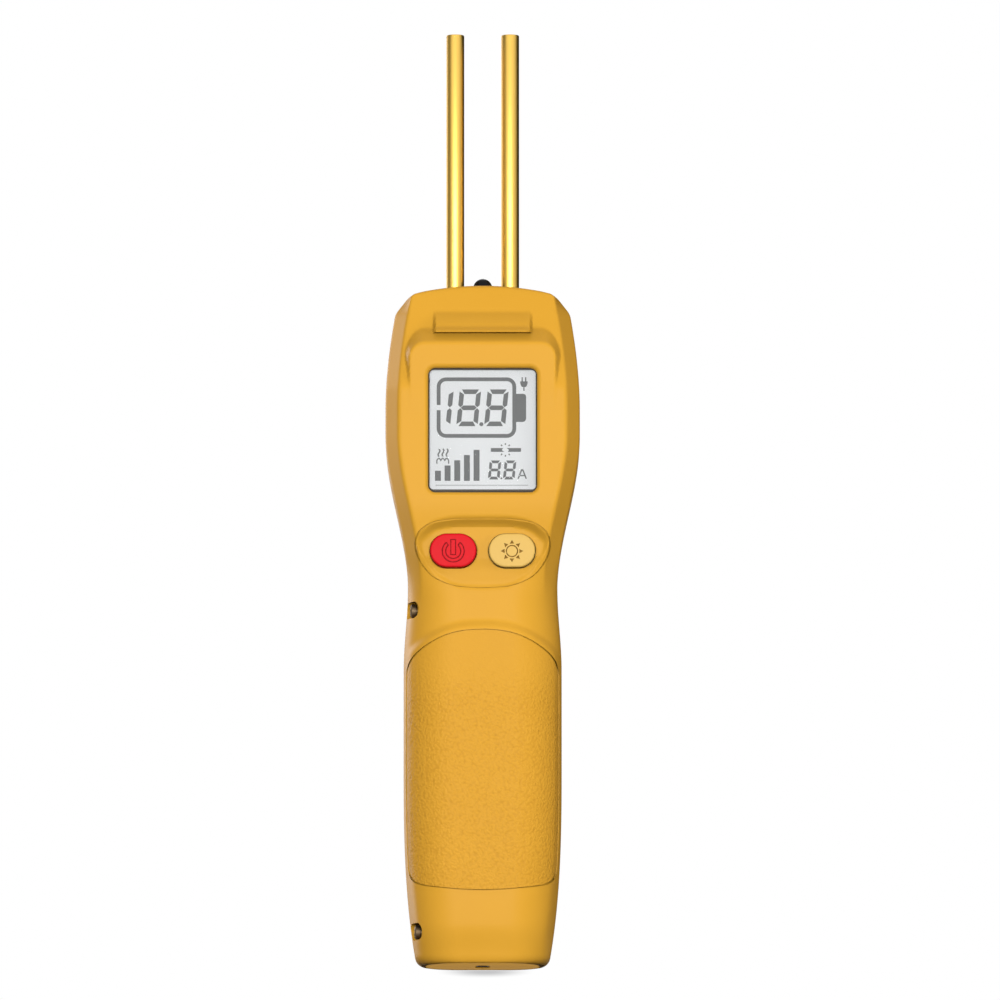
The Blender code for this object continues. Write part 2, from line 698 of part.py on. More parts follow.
def charge_board_ribs(side):
    """Two ribs that hold the charging board's edge, in the front (-1) or rear (1) shell."""
    edge = SEAM_Y + side * CHARGE_BOARD_HALF
    wall = SEAM_Y + side * (CHARGE_BOARD_HALF + 6 * MM)
    low_y, high_y = sorted((edge - side * 2.5 * MM, wall))
    ribs = []
    low_z, high_z = BASE_WALL - 1 * MM, CHARGE_BOARD_HIGH_Z - 1 * MM
    for low_x in (charge_board_x() - GAP - RIB, charge_board_x() + CHARGE_BOARD_THICKNESS + GAP):
        rib = block("rib", (low_x, low_y, low_z), (low_x + RIB, high_y, high_z))
        ribs.append(keep_inside(rib, core("rib_core", 1.0 * MM, 1 * MM, CHARGE_BOARD_HIGH_Z + 3 * MM)))
    return ribs


def make_rear_shell(surface):
    shell = shell_form("rear_shell", rear_half, SEAM_Y + GAP / 2, surface)
    cut(shell, cavity())
    for z in saddle_heights():
        rib = block("rib", (-13 * MM, 5 * MM, z), (13 * MM, GRIP_REAR, z + RIB))
        keep_inside(rib, core("rib_core", 1.0 * MM, z - 6 * MM, z + 6 * MM))
        cut(rib, cylinder("seat", (0, 0, z - 3 * MM), (0, 0, z + 5 * MM), cradle_radius() + GAP, sides=24))
        join(shell, rib)
    for x in (-ROD_X, ROD_X):
        low_z = block_low_z() + 2 * MM
        seat_y = SEAM_Y + BLOCK_REAR + GAP
        rib = block("rib", (x - RIB / 2, seat_y, low_z), (x + RIB / 2, HEAD_REAR, low_z + 3 * MM))
        join(shell, keep_inside(rib, core("rib_core", 1.0 * MM, low_z - 5 * MM, low_z + 8 * MM)))
    for z in (SIDE_SCREW_LOW_Z, SIDE_SCREW_HIGH_Z):
        start = -side_boss_reach(z) + GAP
        end = start + SIDE_THREAD
        post = boss("post", (start, SIDE_SCREW_Y, z), (end, SIDE_SCREW_Y, z), SIDE_BOSS_RADIUS - 0.4 * MM)
        arm = block("arm", (start + 1 * MM, SIDE_SCREW_Y, z - RIB), (end - 0.5 * MM, GRIP_REAR, z + RIB))
        join(post, keep_inside(arm, core("arm_core", 1.0 * MM, z - 4 * MM, z + 4 * MM)))
        join(shell, post)
        cut(shell, cylinder("pilot", (start - 1 * MM, SIDE_SCREW_Y, z), (end - 1 * MM, SIDE_SCREW_Y, z),
                            SIDE_SHANK_RADIUS + GAP, sides=12))
    for rib in charge_board_ribs(1):
        join(shell, rib)
    cut_seam_holes(shell)
    return smooth(shell)


# ---------------------------------------------------------------- face: inlay, display, buttons

def make_grip_pad(surface):
    pad = prism("grip_pad", pad_outline(), -GRIP_FRONT - 5 * MM, PAD_REAR_Y, surface)
    keep_inside(pad, core("pad_skin", -PAD_PROUD, 5 * MM, NECK_Z))
    cut(pad, core("pad_floor", PAD_SUNK - GAP, 5 * MM, NECK_Z))
    return smooth(pad)


def make_display(window_surface, gasket_surface, lcd_surface, light_surface, flex_surface):
    smooth(prism("display_window", window_outline(-GAP), FACE_Y + WINDOW_SUNK, lip_back_y(), window_surface))
    front = gasket_front_y()
    rim = window_outline(GASKET_OVERLAP)
    gasket = prism("window_gasket", rim, front, front + GASKET_THICKNESS, gasket_surface)
    hole = window_outline(GASKET_OVERLAP - GASKET_WIDTH)
    smooth(cut(gasket, prism("gasket_hole", hole, front - 1 * MM, front + 2 * MM)))
    low = WINDOW_LOW_Z - LCD_OVERLAP
    high = WINDOW_HIGH_Z + LCD_OVERLAP
    back = lcd_front_y() + LCD_THICKNESS
    block("lcd_panel", (-lcd_half_width(), lcd_front_y(), low), (lcd_half_width(), back, high), lcd_surface)
    board_y = BOARD_FRONT_Y - GAP
    block("backlight", (-WINDOW_HALF_WIDTH, back + GAP, low + 1 * MM),
          (WINDOW_HALF_WIDTH, board_y, high - 1 * MM), light_surface)
    flex_z = low - GAP
    block("display_flex", (-FLEX_HALF_WIDTH, lcd_front_y() + GAP, flex_z - FLEX_THICKNESS),
          (FLEX_HALF_WIDTH, board_y, flex_z), flex_surface)


def button_outline(grow=0.0):
    low, high = BUTTON_Z - BUTTON_HEIGHT / 2 - grow, BUTTON_Z + BUTTON_HEIGHT / 2 + grow
    return rounded_rectangle(BUTTON_WIDTH / 2 + grow, low, high, BUTTON_RADIUS + grow, 4)


def make_button(name, side, symbol, surface):
    """Cap with a bevelled edge, a flange behind the wall and a shallow symbol; its origin is on its slide."""
    x = side * BUTTON_X
    face_y = ISLAND_FLOOR_Y - BUTTON_PROUD
    flange_y = FLANGE_BACK_Y - BUTTON_FLANGE_THICKNESS
    steps = ((face_y, -BUTTON_BEVEL), (face_y + BUTTON_BEVEL, 0.0), (flange_y, 0.0))
    rings = [[(px, y, pz) for px, pz in moved(button_outline(grow), x)] for y, grow in steps]
    button = loft(name, rings, surface)
    flange = prism("flange", moved(button_outline(BUTTON_FLANGE), x), flange_y, FLANGE_BACK_Y)
    join(button, flange)
    symbol(button, x, face_y)
    smooth(button)
    anchor = Vector((x, face_y, BUTTON_Z))
    button.data.transform(Matrix.Translation(-anchor))
    button.location = anchor
    return button


def power_symbol(button, x, face_y):
    """Open ring with a stroke at its top."""
    depth = face_y + SYMBOL_DEPTH
    ring = turned("ring", [(1.25 * MM, -1 * MM), (1.75 * MM, -1 * MM), (1.75 * MM, SYMBOL_DEPTH),
                           (1.25 * MM, SYMBOL_DEPTH)], (x, face_y, BUTTON_Z - 0.2 * MM), (0, 1, 0), sides=20)
    low_y, half_gap, half_stroke = face_y - 1 * MM, 0.65 * MM, 0.25 * MM
    cut(ring, block("gap", (x - half_gap, low_y, BUTTON_Z), (x + half_gap, depth + 1 * MM, BUTTON_Z + 3 * MM)))
    cut(button, ring)
    high_z = BUTTON_Z + 2 * MM
    cut(button, block("stroke", (x - half_stroke, low_y, BUTTON_Z), (x + half_stroke, depth, high_z)))


def heat_symbol(button, x, face_y):
    """Sun: a disc and eight short rays."""
    depth = face_y + SYMBOL_DEPTH
    cut(button, cylinder("disc", (x, face_y - 1 * MM, BUTTON_Z), (x, depth, BUTTON_Z), 1.15 * MM, sides=12))
    for ray in range(8):
        angle = math.radians(45 * ray)
        ray_x, ray_z = x + 2.1 * MM * math.cos(angle), BUTTON_Z + 2.1 * MM * math.sin(angle)
        cut(button, cylinder("ray", (ray_x, face_y - 1 * MM, ray_z), (ray_x, depth, ray_z), 0.3 * MM, sides=6))


# ---------------------------------------------------------------- boards and switches

def make_main_board(surface):
    low, high = BOARD_LOW_Z, BOARD_HIGH_Z
    wide = board_screw_places()[1][0] + SCREW_HEAD_RADIUS + 0.3 * MM
    outline = [(BOARD_LOW_HALF, low), (BOARD_LOW_HALF, BOARD_STEP_Z)]
    outline += [(wide, BOARD_STEP_Z + 3 * MM), (wide, high)]
    outline += [(-x, z) for x, z in reversed(outline)]
    board = prism("main_board", outline, BOARD_FRONT_Y, BOARD_BACK_Y, surface)
    for x, z in board_screw_places():
        start, end = (x, BOARD_FRONT_Y - 1 * MM, z), (x, BOARD_BACK_Y + 1 * MM, z)
        cut(board, cylinder("hole", start, end, SCREW_RADIUS + GAP, sides=10))


def headed_screw(name, seat, axis, head_radius, head_height, shank_radius, length, surface):
    """Screw whose head sits at the seat and whose shank runs along the axis, with a cross socket."""
    profile = [(0.0, -head_height), (head_radius * 0.8, -head_height), (head_radius, -head_height * 0.6),
               (head_radius, 0.0), (shank_radius, 0.0), (shank_radius, length - shank_radius),
               (shank_radius * 0.4, length), (0.0, length)]
    screw = turned(name, profile, seat, axis, surface, 12)
    direction = Vector(axis)
    across = direction.orthogonal().normalized()
    for bar in (across, direction.cross(across)):
        top = Vector(seat) - direction * head_height
        cutter = turned("slot", [(0.0, -1 * MM), (0.25 * MM, -1 * MM), (0.25 * MM, 0.55 * head_height),
                                 (0.0, 0.55 * head_height)], top, axis, sides=4)
        stretch = Matrix.Identity(4)
        for row in range(3):
            for column in range(3):
                stretch[row][column] += 2.2 * bar[row] * bar[column]
        cutter.data.transform(Matrix.Translation(top) @ stretch @ Matrix.Translation(-top))
        cut(screw, cutter)
    return smooth(screw)


def make_board_screws(surface):
    for number, (x, z) in enumerate(board_screw_places(), start=1):
        headed_screw(f"board_screw_{number}", (x, BOARD_BACK_Y + GAP, z), (0, -1, 0), SCREW_HEAD_RADIUS,
                     SCREW_HEAD_HEIGHT, SCREW_RADIUS, BOARD_SCREW_LENGTH, surface)


def make_switch(name, plunger_name, side, body_surface, plunger_surface):
    x = side * BUTTON_X
    body = block(name, (x - SWITCH_HALF, SWITCH_FRONT_Y, BUTTON_Z - SWITCH_HALF),
                 (x + SWITCH_HALF, BOARD_FRONT_Y - GAP, BUTTON_Z + SWITCH_HALF), body_surface)
    bottom = PLUNGER_FRONT_Y + PLUNGER_LENGTH + BUTTON_TRAVEL + 0.1 * MM
    cut(body, cylinder("bore", (x, SWITCH_FRONT_Y - 1 * MM, BUTTON_Z), (x, bottom, BUTTON_Z),
                       PLUNGER_RADIUS + PLUNGER_CLEARANCE))
    cylinder(plunger_name, (x, PLUNGER_FRONT_Y, BUTTON_Z), (x, PLUNGER_FRONT_Y + PLUNGER_LENGTH, BUTTON_Z),
             PLUNGER_RADIUS, plunger_surface)


def make_chips(chip_surface, connector_surface):
    half_chip, chip_z = 3.5 * MM, NECK_Z + 13.5 * MM
    block("control_chip", (-half_chip, CHIP_Y, chip_z - half_chip),
          (half_chip, CHIP_Y + 1 * MM, chip_z + half_chip), chip_surface)
    half_x, half_z = 2.6 * MM, 3.3 * MM
    for name, x in (("mosfet_left", -MOSFET_X), ("mosfet_right", MOSFET_X)):
        block(name, (x - half_x, CHIP_Y, MOSFET_Z - half_z),
              (x + half_x, CHIP_Y + MOSFET_HEIGHT, MOSFET_Z + half_z), chip_surface)
    low = BOARD_LOW_Z + 1.5 * MM
    block("battery_connector", (-3.4 * MM, CHIP_Y, low), (5 * MM, CHIP_Y + 3.2 * MM, low + 5 * MM),
          connector_surface)


# ---------------------------------------------------------------- head

def holder_low_z():
    return holder_top_z() - LAMP_BODY - 0.2 * MM


def holder_top_z():
    return CROWN_Z - TOP_WALL - GAP


def block_high_z():
    return holder_low_z() - GAP


def block_low_z():
    return block_high_z() - BLOCK_LENGTH


def make_electrode_block(surface):
    half = ROD_X + ROD_RADIUS + BLOCK_WALL
    low, high = block_low_z(), block_high_z()
    front, rear = SEAM_Y - BLOCK_FRONT, SEAM_Y + BLOCK_REAR
    body = block("electrode_block", (-half, front, low), (half, rear, high), surface)
    for x in (-ROD_X, ROD_X):
        start, end = (x, SEAM_Y, low - 1 * MM), (x, SEAM_Y, high + 1 * MM)
        cut(body, cylinder("bore", start, end, ROD_RADIUS + GAP, sides=20))
        middle = (low + high) / 2
        start, end = (x, SEAM_Y + ROD_RADIUS, middle), (x, SEAM_Y + BLOCK_REAR + 1 * MM, middle)
        cut(body, cylinder("clamp_bore", start, end, CLAMP_RADIUS + GAP, sides=12))
    start, end = (0, SEAM_Y, low - 1 * MM), (0, SEAM_Y, high + 1 * MM)
    cut(body, cylinder("lamp_channel", start, end, 2 * LAMP_LEAD_X - GAP, sides=12))
    smooth(body)


def make_electrode(name, x, surface):
    """Brass rod with a staple socket in its blunt end."""
    low = block_low_z() + 0.5 * MM
    length = TOP_Z + ROD_OUT - low
    edge = length - ROD_TIP_CHAMFER
    depth = length - STAPLE_HOLE_DEPTH
    profile = [(0.0, 0.0), (ROD_RADIUS, 0.0), (ROD_RADIUS, edge), (ROD_RADIUS - ROD_TIP_CHAMFER, length),
               (STAPLE_HOLE_RADIUS, length), (STAPLE_HOLE_RADIUS, depth), (0.0, depth)]
    turned(name, profile, (x, SEAM_Y, low), (0, 0, 1), surface, 20)


def make_clamp_screw(name, x, surface):
    middle = (block_low_z() + block_high_z()) / 2
    start = SEAM_Y + ROD_RADIUS + GAP
    end = SEAM_Y + BLOCK_REAR - 0.6 * MM
    screw = cylinder(name, (x, start, middle), (x, end, middle), CLAMP_RADIUS, surface, 12)
    cut(screw, cylinder("socket", (x, end - 1.4 * MM, middle), (x, end + 1 * MM, middle), 0.8 * MM, sides=6))


def make_lug_and_lead(side, name, lug_surface, lead_surface):
    """Ring lug under the electrode and its lead down to the switching transistor."""
    x = side * ROD_X
    top = block_low_z() - GAP
    low = top - LUG_THICKNESS
    lug = cylinder(f"lug_{name}", (x, SEAM_Y, low), (x, SEAM_Y, top), ROD_RADIUS + 0.8 * MM, lug_surface)
    cut(lug, cylinder("eye", (x, SEAM_Y, low - 1 * MM), (x, SEAM_Y, top + 1 * MM), 1.0 * MM, sides=10))
    end = CHIP_Y + MOSFET_HEIGHT + LEAD_RADIUS
    target = side * MOSFET_X
    route = [(x, SEAM_Y - 1.2 * MM, low - GAP), (x, SEAM_Y - 2 * MM, low - 6 * MM),
             (target, end + 1.5 * MM, MOSFET_Z + 8 * MM), (target, end + GAP, MOSFET_Z)]
    wire(f"electrode_lead_{name}", route, LEAD_RADIUS, lead_surface)


def make_lamp(surface, holder_surface, lead_surface):
    """Five millimetre lamp with its flange, its holder under the roof and two leads."""
    low = holder_low_z() + 1.2 * MM
    shoulder = low + LAMP_FLANGE_HEIGHT
    tip = TOP_Z + LAMP_OUT
    dome = tip - LAMP_RADIUS
    profile = [(0.0, low), (LAMP_RADIUS + LAMP_FLANGE, low), (LAMP_RADIUS + LAMP_FLANGE, shoulder),
               (LAMP_RADIUS, shoulder)]
    for step in range(5):
        angle = math.radians(90 * step / 5)
        profile.append((LAMP_RADIUS * math.cos(angle), dome + LAMP_RADIUS * math.sin(angle)))
    profile.append((0.0, tip))
    turned("lamp", profile, (0, SEAM_Y, 0), (0, 0, 1), surface)
    bore = LAMP_RADIUS + GAP
    wide = bore + LAMP_FLANGE
    outer = min(wide + HOLDER_WALL, ROD_X - ROD_RADIUS - GAP)
    step_z = shoulder + GAP
    sleeve = [(wide, holder_low_z()), (outer, holder_low_z()), (outer, holder_top_z()), (bore, holder_top_z()),
              (bore, step_z), (wide, step_z)]
    turned("lamp_holder", sleeve, (0, SEAM_Y, 0), (0, 0, 1), holder_surface)
    bottom = block_low_z()
    for name, side in (("lamp_lead_left", -1), ("lamp_lead_right", 1)):
        x = side * LAMP_LEAD_X
        wire(name, [(x, SEAM_Y, low - GAP), (x, SEAM_Y, bottom), (x, SEAM_Y - 4 * MM, bottom - 7 * MM),
                    (x, CHIP_Y + LAMP_LEAD_RADIUS, bottom - 14 * MM)], LAMP_LEAD_RADIUS, lead_surface, 3)


# ---------------------------------------------------------------- power

def cradle_radius():
    return CELL_RADIUS + GAP + CRADLE_WALL


def cell_high_z():
    return CELL_LOW_Z + CELL_LENGTH


def saddle_heights():
    return [CELL_LOW_Z + 0.2 * CELL_LENGTH, CELL_LOW_Z + 0.72 * CELL_LENGTH]


def make_battery(cell_surface, cradle_surface, strip_surface, lead_surfaces):
    low, high = CELL_LOW_Z, cell_high_z()
    nub = 5 * MM
    profile = [(0.0, low), (CELL_RADIUS - 0.6 * MM, low), (CELL_RADIUS, low + 0.6 * MM),
               (CELL_RADIUS, high - 3.2 * MM), (CELL_RADIUS - 0.5 * MM, high - 2.6 * MM),
               (CELL_RADIUS, high - 2.0 * MM), (CELL_RADIUS, high - 0.9 * MM),
               (CELL_RADIUS - 0.8 * MM, high - 0.5 * MM), (nub, high - 0.5 * MM), (nub, high), (0.0, high)]
    turned("battery_cell", profile, (0, 0, 0), (0, 0, 1), cell_surface, 24)
    inner = CELL_RADIUS + GAP
    outer = cradle_radius()
    arc = [math.radians(-12 + 204 * step / 14) for step in range(15)]
    ring = [(outer * math.cos(a), outer * math.sin(a)) for a in arc]
    ring += [(inner * math.cos(a), inner * math.sin(a)) for a in reversed(arc)]
    cradle_low = low + 3 * MM
    cradle_high = high - 4 * MM
    rings = [[(x, y, z) for x, y in ring] for z in (cradle_low, cradle_high)]
    smooth(loft("battery_cradle", rings, cradle_surface))
    above, below, half = high + GAP, low - GAP, 3.5 * MM
    block("contact_positive", (-half, -6 * MM, above), (half, 4 * MM, above + STRIP_THICKNESS), strip_surface)
    block("contact_negative", (-half, -7 * MM, below - STRIP_THICKNESS), (8 * MM, 4 * MM, below), strip_surface)
    top = BOARD_LOW_Z + 1.2 * MM
    entry_y = CHIP_Y + 1.6 * MM
    plus_x, minus_x = -0.5 * MM, 3.4 * MM
    rise_z = high + 0.4 * (top - high)
    plus_route = [(0, -3.5 * MM, high + 1.8 * MM), (plus_x, entry_y + 1 * MM, rise_z),
                  (plus_x, entry_y, top)]
    wire("battery_lead_positive", plus_route, BATTERY_LEAD_RADIUS, lead_surfaces[0], 3)
    side_x = CELL_RADIUS + 2.2 * MM
    turn_y = entry_y + 0.5 * MM
    corner_x, corner_y = 0.9 * CELL_RADIUS, -0.66 * CELL_RADIUS
    minus_route = [(6.5 * MM, -5 * MM, low - 1.8 * MM), (corner_x, corner_y, low - 1.0 * MM),
                   (side_x, -6 * MM, low + 9 * MM), (side_x, -6 * MM, high - 12 * MM),
                   (side_x - 2.4 * MM, turn_y, high + 0.5 * MM), (minus_x, turn_y, high + 3.6 * MM),
                   (minus_x, entry_y, top)]
    wire("battery_lead_negative", minus_route, BATTERY_LEAD_RADIUS, lead_surfaces[1], 4)


def port_form(name, grow, low_z, high_z, surface=None):
    """Stadium section of the charging port, its long side front to back."""
    half_x = PORT_HALF_X + grow
    straight = PORT_HALF_Y + grow - half_x
    ring = []
    for centre, start in ((straight, 0), (-straight, 180)):
        for step in range(7):
            angle = math.radians(start + 180 * step / 6)
            ring.append((half_x * math.cos(angle), SEAM_Y + centre + half_x * math.sin(angle)))
    return loft(name, [[(x, y, z) for x, y in ring] for z in (low_z, high_z)], surface)


def charge_board_x():
    return PORT_HALF_X + GAP


def make_port(shell_surface, tongue_surface, board_surface):
    high = PORT_LOW_Z + PORT_DEPTH
    port = port_form("charge_port", 0.0, PORT_LOW_Z, high, shell_surface)
    cut(port, port_form("mouth", -PORT_METAL, PORT_LOW_Z - 1 * MM, high - PORT_METAL))
    smooth(port)
    block("port_tongue", (-0.35 * MM, SEAM_Y - 3.3 * MM, PORT_LOW_Z + 0.9 * MM),
          (0.35 * MM, SEAM_Y + 3.3 * MM, high - PORT_METAL - GAP), tongue_surface)
    x = charge_board_x()
    block("charge_board", (x, SEAM_Y - CHARGE_BOARD_HALF, CHARGE_BOARD_LOW_Z),
          (x + CHARGE_BOARD_THICKNESS, SEAM_Y + CHARGE_BOARD_HALF, CHARGE_BOARD_HIGH_Z), board_surface)
    chip_x = x + CHARGE_BOARD_THICKNESS + GAP
    half = 2 * MM
    middle = (CHARGE_BOARD_LOW_Z + CHARGE_BOARD_HIGH_Z) / 2
    block("charge_chip", (chip_x, SEAM_Y - half, middle - half),
          (chip_x + 1 * MM, SEAM_Y + half, middle + half), tongue_surface)


def make_side_screws(surface):
    for name, z in (("side_screw_lower", SIDE_SCREW_LOW_Z), ("side_screw_upper", SIDE_SCREW_HIGH_Z)):
        seat = -half_width(z) + SIDE_RECESS_DEPTH - GAP
        length = half_width(z) - SIDE_RECESS_DEPTH - side_boss_reach(z) + SIDE_THREAD - 1 * MM
        headed_screw(name, (seat, SIDE_SCREW_Y, z), (1, 0, 0), SIDE_HEAD_RADIUS, SIDE_HEAD_HEIGHT,
                     SIDE_SHANK_RADIUS, length, surface)


def main():
    clear_scene()
    casing = material("casing_plastic", (0.85, 0.44, 0.06), 0.5)
    grip = material("grip_soft", (0.78, 0.39, 0.05), 0.8)
    glass = material("window_clear", (0.80, 0.82, 0.84), 0.1)
    dark = material("black_foam", (0.03, 0.03, 0.03), 0.8)
    lcd = material("lcd_glass", (0.78, 0.80, 0.82), 0.25)
    light = material("reflector_white", (0.85, 0.85, 0.85), 0.5)
    flex = material("flex_film", (0.60, 0.32, 0.08), 0.4)
    red = material("button_red", (0.75, 0.02, 0.03), 0.4)
    pale = material("button_pale", (0.87, 0.55, 0.16), 0.4)
    board = material("board_green", (0.03, 0.22, 0.08), 0.5)
    chip = material("chip_black", (0.02, 0.02, 0.02), 0.4)
    white = material("connector_white", (0.80, 0.79, 0.74), 0.5)
    steel = material("screw_steel", (0.45, 0.45, 0.46), 0.35, 1.0)
    brass = material("electrode_brass", (0.85, 0.58, 0.20), 0.22, 1.0)
    ceramic = material("block_phenolic", (0.10, 0.07, 0.05), 0.6)
    lamp = material("lamp_black", (0.01, 0.01, 0.012), 0.08)
    nickel = material("nickel_strip", (0.66, 0.64, 0.60), 0.3, 1.0)
    tin = material("tinned_wire", (0.70, 0.70, 0.71), 0.35, 1.0)
    wrap = material("cell_wrap", (0.04, 0.22, 0.45), 0.4)
    wire_red = material("wire_red", (0.60, 0.03, 0.03), 0.5)
    wire_black = material("wire_black", (0.02, 0.02, 0.02), 0.5)

    make_front_shell(casing)
    make_rear_shell(casing)
    make_grip_pad(grip)
    make_display(glass, dark, lcd, light, flex)
    make_button("power_button", -1, power_symbol, red)
    make_button("heat_button", 1, heat_symbol, pale)
    make_main_board(board)
    make_board_screws(steel)
    make_switch("power_switch", "power_plunger", -1, chip, white)
    make_switch("heat_switch", "heat_plunger", 1, chip, white)
    make_chips(chip, white)
    make_electrode_block(ceramic)
    make_electrode("electrode_left", -ROD_X, brass)
    make_electrode("electrode_right", ROD_X, brass)
    make_clamp_screw("clamp_screw_left", -ROD_X, steel)
    make_clamp_screw("clamp_screw_right", ROD_X, steel)
    make_lug_and_lead(-1, "left", nickel, wire_black)
    make_lug_and_lead(1, "right", nickel, wire_red)
    make_lamp(lamp, dark, tin)
    make_battery(wrap, dark, nickel, (wire_red, wire_black))
    make_port(nickel, chip, board)
    make_side_screws(steel)


main()
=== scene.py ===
# %% [markdown]
# # Cordless hot stapler
# A hot stapler melts a wire staple into cracked plastic. It is a two-part moulded casing with a display,
# two push buttons, a grained grip inlay and two brass electrodes with a lamp between them.
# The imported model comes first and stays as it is. Every visible piece is then made again around it, finer.

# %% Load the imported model
import json
import math

import bmesh
import bpy
import numpy as np
from mathutils import Matrix, Vector


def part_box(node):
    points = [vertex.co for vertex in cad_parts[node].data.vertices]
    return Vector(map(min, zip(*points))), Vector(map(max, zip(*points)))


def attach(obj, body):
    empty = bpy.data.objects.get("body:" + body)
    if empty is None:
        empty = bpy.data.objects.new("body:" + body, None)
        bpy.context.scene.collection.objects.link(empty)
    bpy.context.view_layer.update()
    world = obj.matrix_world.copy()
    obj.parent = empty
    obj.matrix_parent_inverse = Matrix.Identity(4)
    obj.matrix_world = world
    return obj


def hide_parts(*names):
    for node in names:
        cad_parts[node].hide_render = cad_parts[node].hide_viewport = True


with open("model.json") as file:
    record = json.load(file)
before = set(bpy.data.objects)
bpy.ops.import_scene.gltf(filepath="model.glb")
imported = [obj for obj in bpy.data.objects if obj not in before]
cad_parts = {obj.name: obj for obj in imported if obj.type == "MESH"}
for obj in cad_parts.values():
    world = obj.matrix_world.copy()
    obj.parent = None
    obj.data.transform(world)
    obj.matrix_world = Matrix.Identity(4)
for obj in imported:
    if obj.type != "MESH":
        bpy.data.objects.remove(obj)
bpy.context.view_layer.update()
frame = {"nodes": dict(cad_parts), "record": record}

MM = 0.001

# %% [markdown]
# ## Sizes that come from the imported model
# The real pieces only fit if they agree about where they meet. So the seam, the face, the window, the buttons
# and the electrodes are read from the imported solids, and nothing is measured twice.

# %% Read the places of the main pieces
shell_low, shell_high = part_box("front_shell")
window_low, window_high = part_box("display_window")
TOP_Z = 176.7 * MM
SEAM_Y = shell_high.y + 0.15 * MM
FACE_Y = shell_low.y
NECK_Z = TOP_Z - 78.7 * MM
GAP = 0.3 * MM
SEAM_CLEAR, SEAM_DEEP = 0.01 * MM, 0.7 * MM
WALL = 2.2 * MM
print(f"top {TOP_Z:.4f}, seam {SEAM_Y:.4f}, face {FACE_Y:.4f}, neck {NECK_Z:.4f}")

# %% [markdown]
# ## The casing's rule
# A moulded casing is easier to describe by a rule than by hand: at each height it has a half width and a
# depth for each half. Everything else follows from those three numbers, so a change of one keeps the rest
# in step.

# %% Half width and depth at one height
GRIP_WIDEST_Z, GRIP_TOP_Z, GRIP_BELLY_Z = 54 * MM, 77 * MM, 44 * MM
FACE_LOW_Z, FACE_HIGH_Z = NECK_Z + 23 * MM, NECK_Z + 51 * MM
HEAD_WIDE_Z, HEAD_WIDE_END_Z = NECK_Z + 39 * MM, NECK_Z + 46 * MM
SHOULDER_Z, CROWN_Z = NECK_Z + 71.6 * MM, NECK_Z + 76.5 * MM
BASE_HALF, GRIP_HALF, NECK_HALF, HEAD_HALF = 17.1 * MM, 20.5 * MM, 19.4 * MM, 25.2 * MM
SHOULDER_HALF, CROWN_HALF = 22.7 * MM, 19.0 * MM
FOOT_ROUND, CROWN_ROUND = 2.3 * MM, 1.0 * MM
BASE_FRONT, GRIP_FRONT, NECK_FRONT, HEAD_FRONT, TOP_FRONT = 13 * MM, 15.4 * MM, 15 * MM, 18.9 * MM, 8.4 * MM
BASE_REAR, GRIP_REAR, NECK_REAR, HEAD_REAR, TOP_REAR = 14.6 * MM, 19 * MM, 13.6 * MM, 16.2 * MM, 12.6 * MM


def ease(share):
    """Smooth step from 0 to 1, for one number or for an array."""
    share = np.clip(share, 0.0, 1.0)
    return share * share * (3.0 - 2.0 * share)


def between(z, low_z, high_z, low_value, high_value):
    return low_value + (high_value - low_value) * float(ease((z - low_z) / (high_z - low_z)))


def foot_inset(z):
    """How far the rounding of the foot draws the outline in."""
    return FOOT_ROUND * (1 - math.sqrt(max(0.0, 1 - (1 - min(z / FOOT_ROUND, 1.0)) ** 2)))


def crown_drop(row, z, slope):
    """How far the crown's rounded edge draws the row towards the seam."""
    crown = TOP_Z - (TOP_Z - CROWN_Z) * (row[:, 0] / CROWN_HALF) ** 2
    near_top = np.clip((CROWN_ROUND - (crown - z)) / CROWN_ROUND, 0, 1) * (slope > 0)
    return CROWN_ROUND * (1 - np.sqrt(1 - near_top ** 2)) * ease(slope)


def half_width(z):
    if z < GRIP_WIDEST_Z:
        return GRIP_HALF - (GRIP_HALF - BASE_HALF) * (1 - z / GRIP_WIDEST_Z) ** 3
    if z < NECK_Z:
        return between(z, GRIP_TOP_Z, NECK_Z, GRIP_HALF, NECK_HALF)
    if z < HEAD_WIDE_END_Z:
        return between(z, NECK_Z, HEAD_WIDE_Z, NECK_HALF, HEAD_HALF)
    if z < SHOULDER_Z:
        share = (z - HEAD_WIDE_END_Z) / (SHOULDER_Z - HEAD_WIDE_END_Z)
        return HEAD_HALF - (HEAD_HALF - SHOULDER_HALF) * share ** 1.8
    if z < CROWN_Z:
        return SHOULDER_HALF + (CROWN_HALF - SHOULDER_HALF) * (z - SHOULDER_Z) / (CROWN_Z - SHOULDER_Z)
    return CROWN_HALF * math.sqrt(max(TOP_Z - z, 0.0) / (TOP_Z - CROWN_Z))


def front_depth(z):
    if z < GRIP_WIDEST_Z:
        return GRIP_FRONT - (GRIP_FRONT - BASE_FRONT) * (1 - z / GRIP_WIDEST_Z) ** 3
    if z < NECK_Z:
        return between(z, GRIP_WIDEST_Z, NECK_Z, GRIP_FRONT, NECK_FRONT)
    if z < FACE_HIGH_Z:
        return between(z, NECK_Z, FACE_LOW_Z, NECK_FRONT, HEAD_FRONT)
    return HEAD_FRONT + (TOP_FRONT - HEAD_FRONT) * (z - FACE_HIGH_Z) / (TOP_Z - FACE_HIGH_Z)


def rear_depth(z):
    if z < GRIP_BELLY_Z:
        return GRIP_REAR - (GRIP_REAR - BASE_REAR) * (1 - z / GRIP_BELLY_Z) ** 2
    if z < NECK_Z:
        return between(z, GRIP_BELLY_Z, NECK_Z, GRIP_REAR, NECK_REAR)
    if z < SHOULDER_Z:
        return between(z, NECK_Z, HEAD_WIDE_Z, NECK_REAR, HEAD_REAR)
    return between(z, SHOULDER_Z, TOP_Z, HEAD_REAR, TOP_REAR)


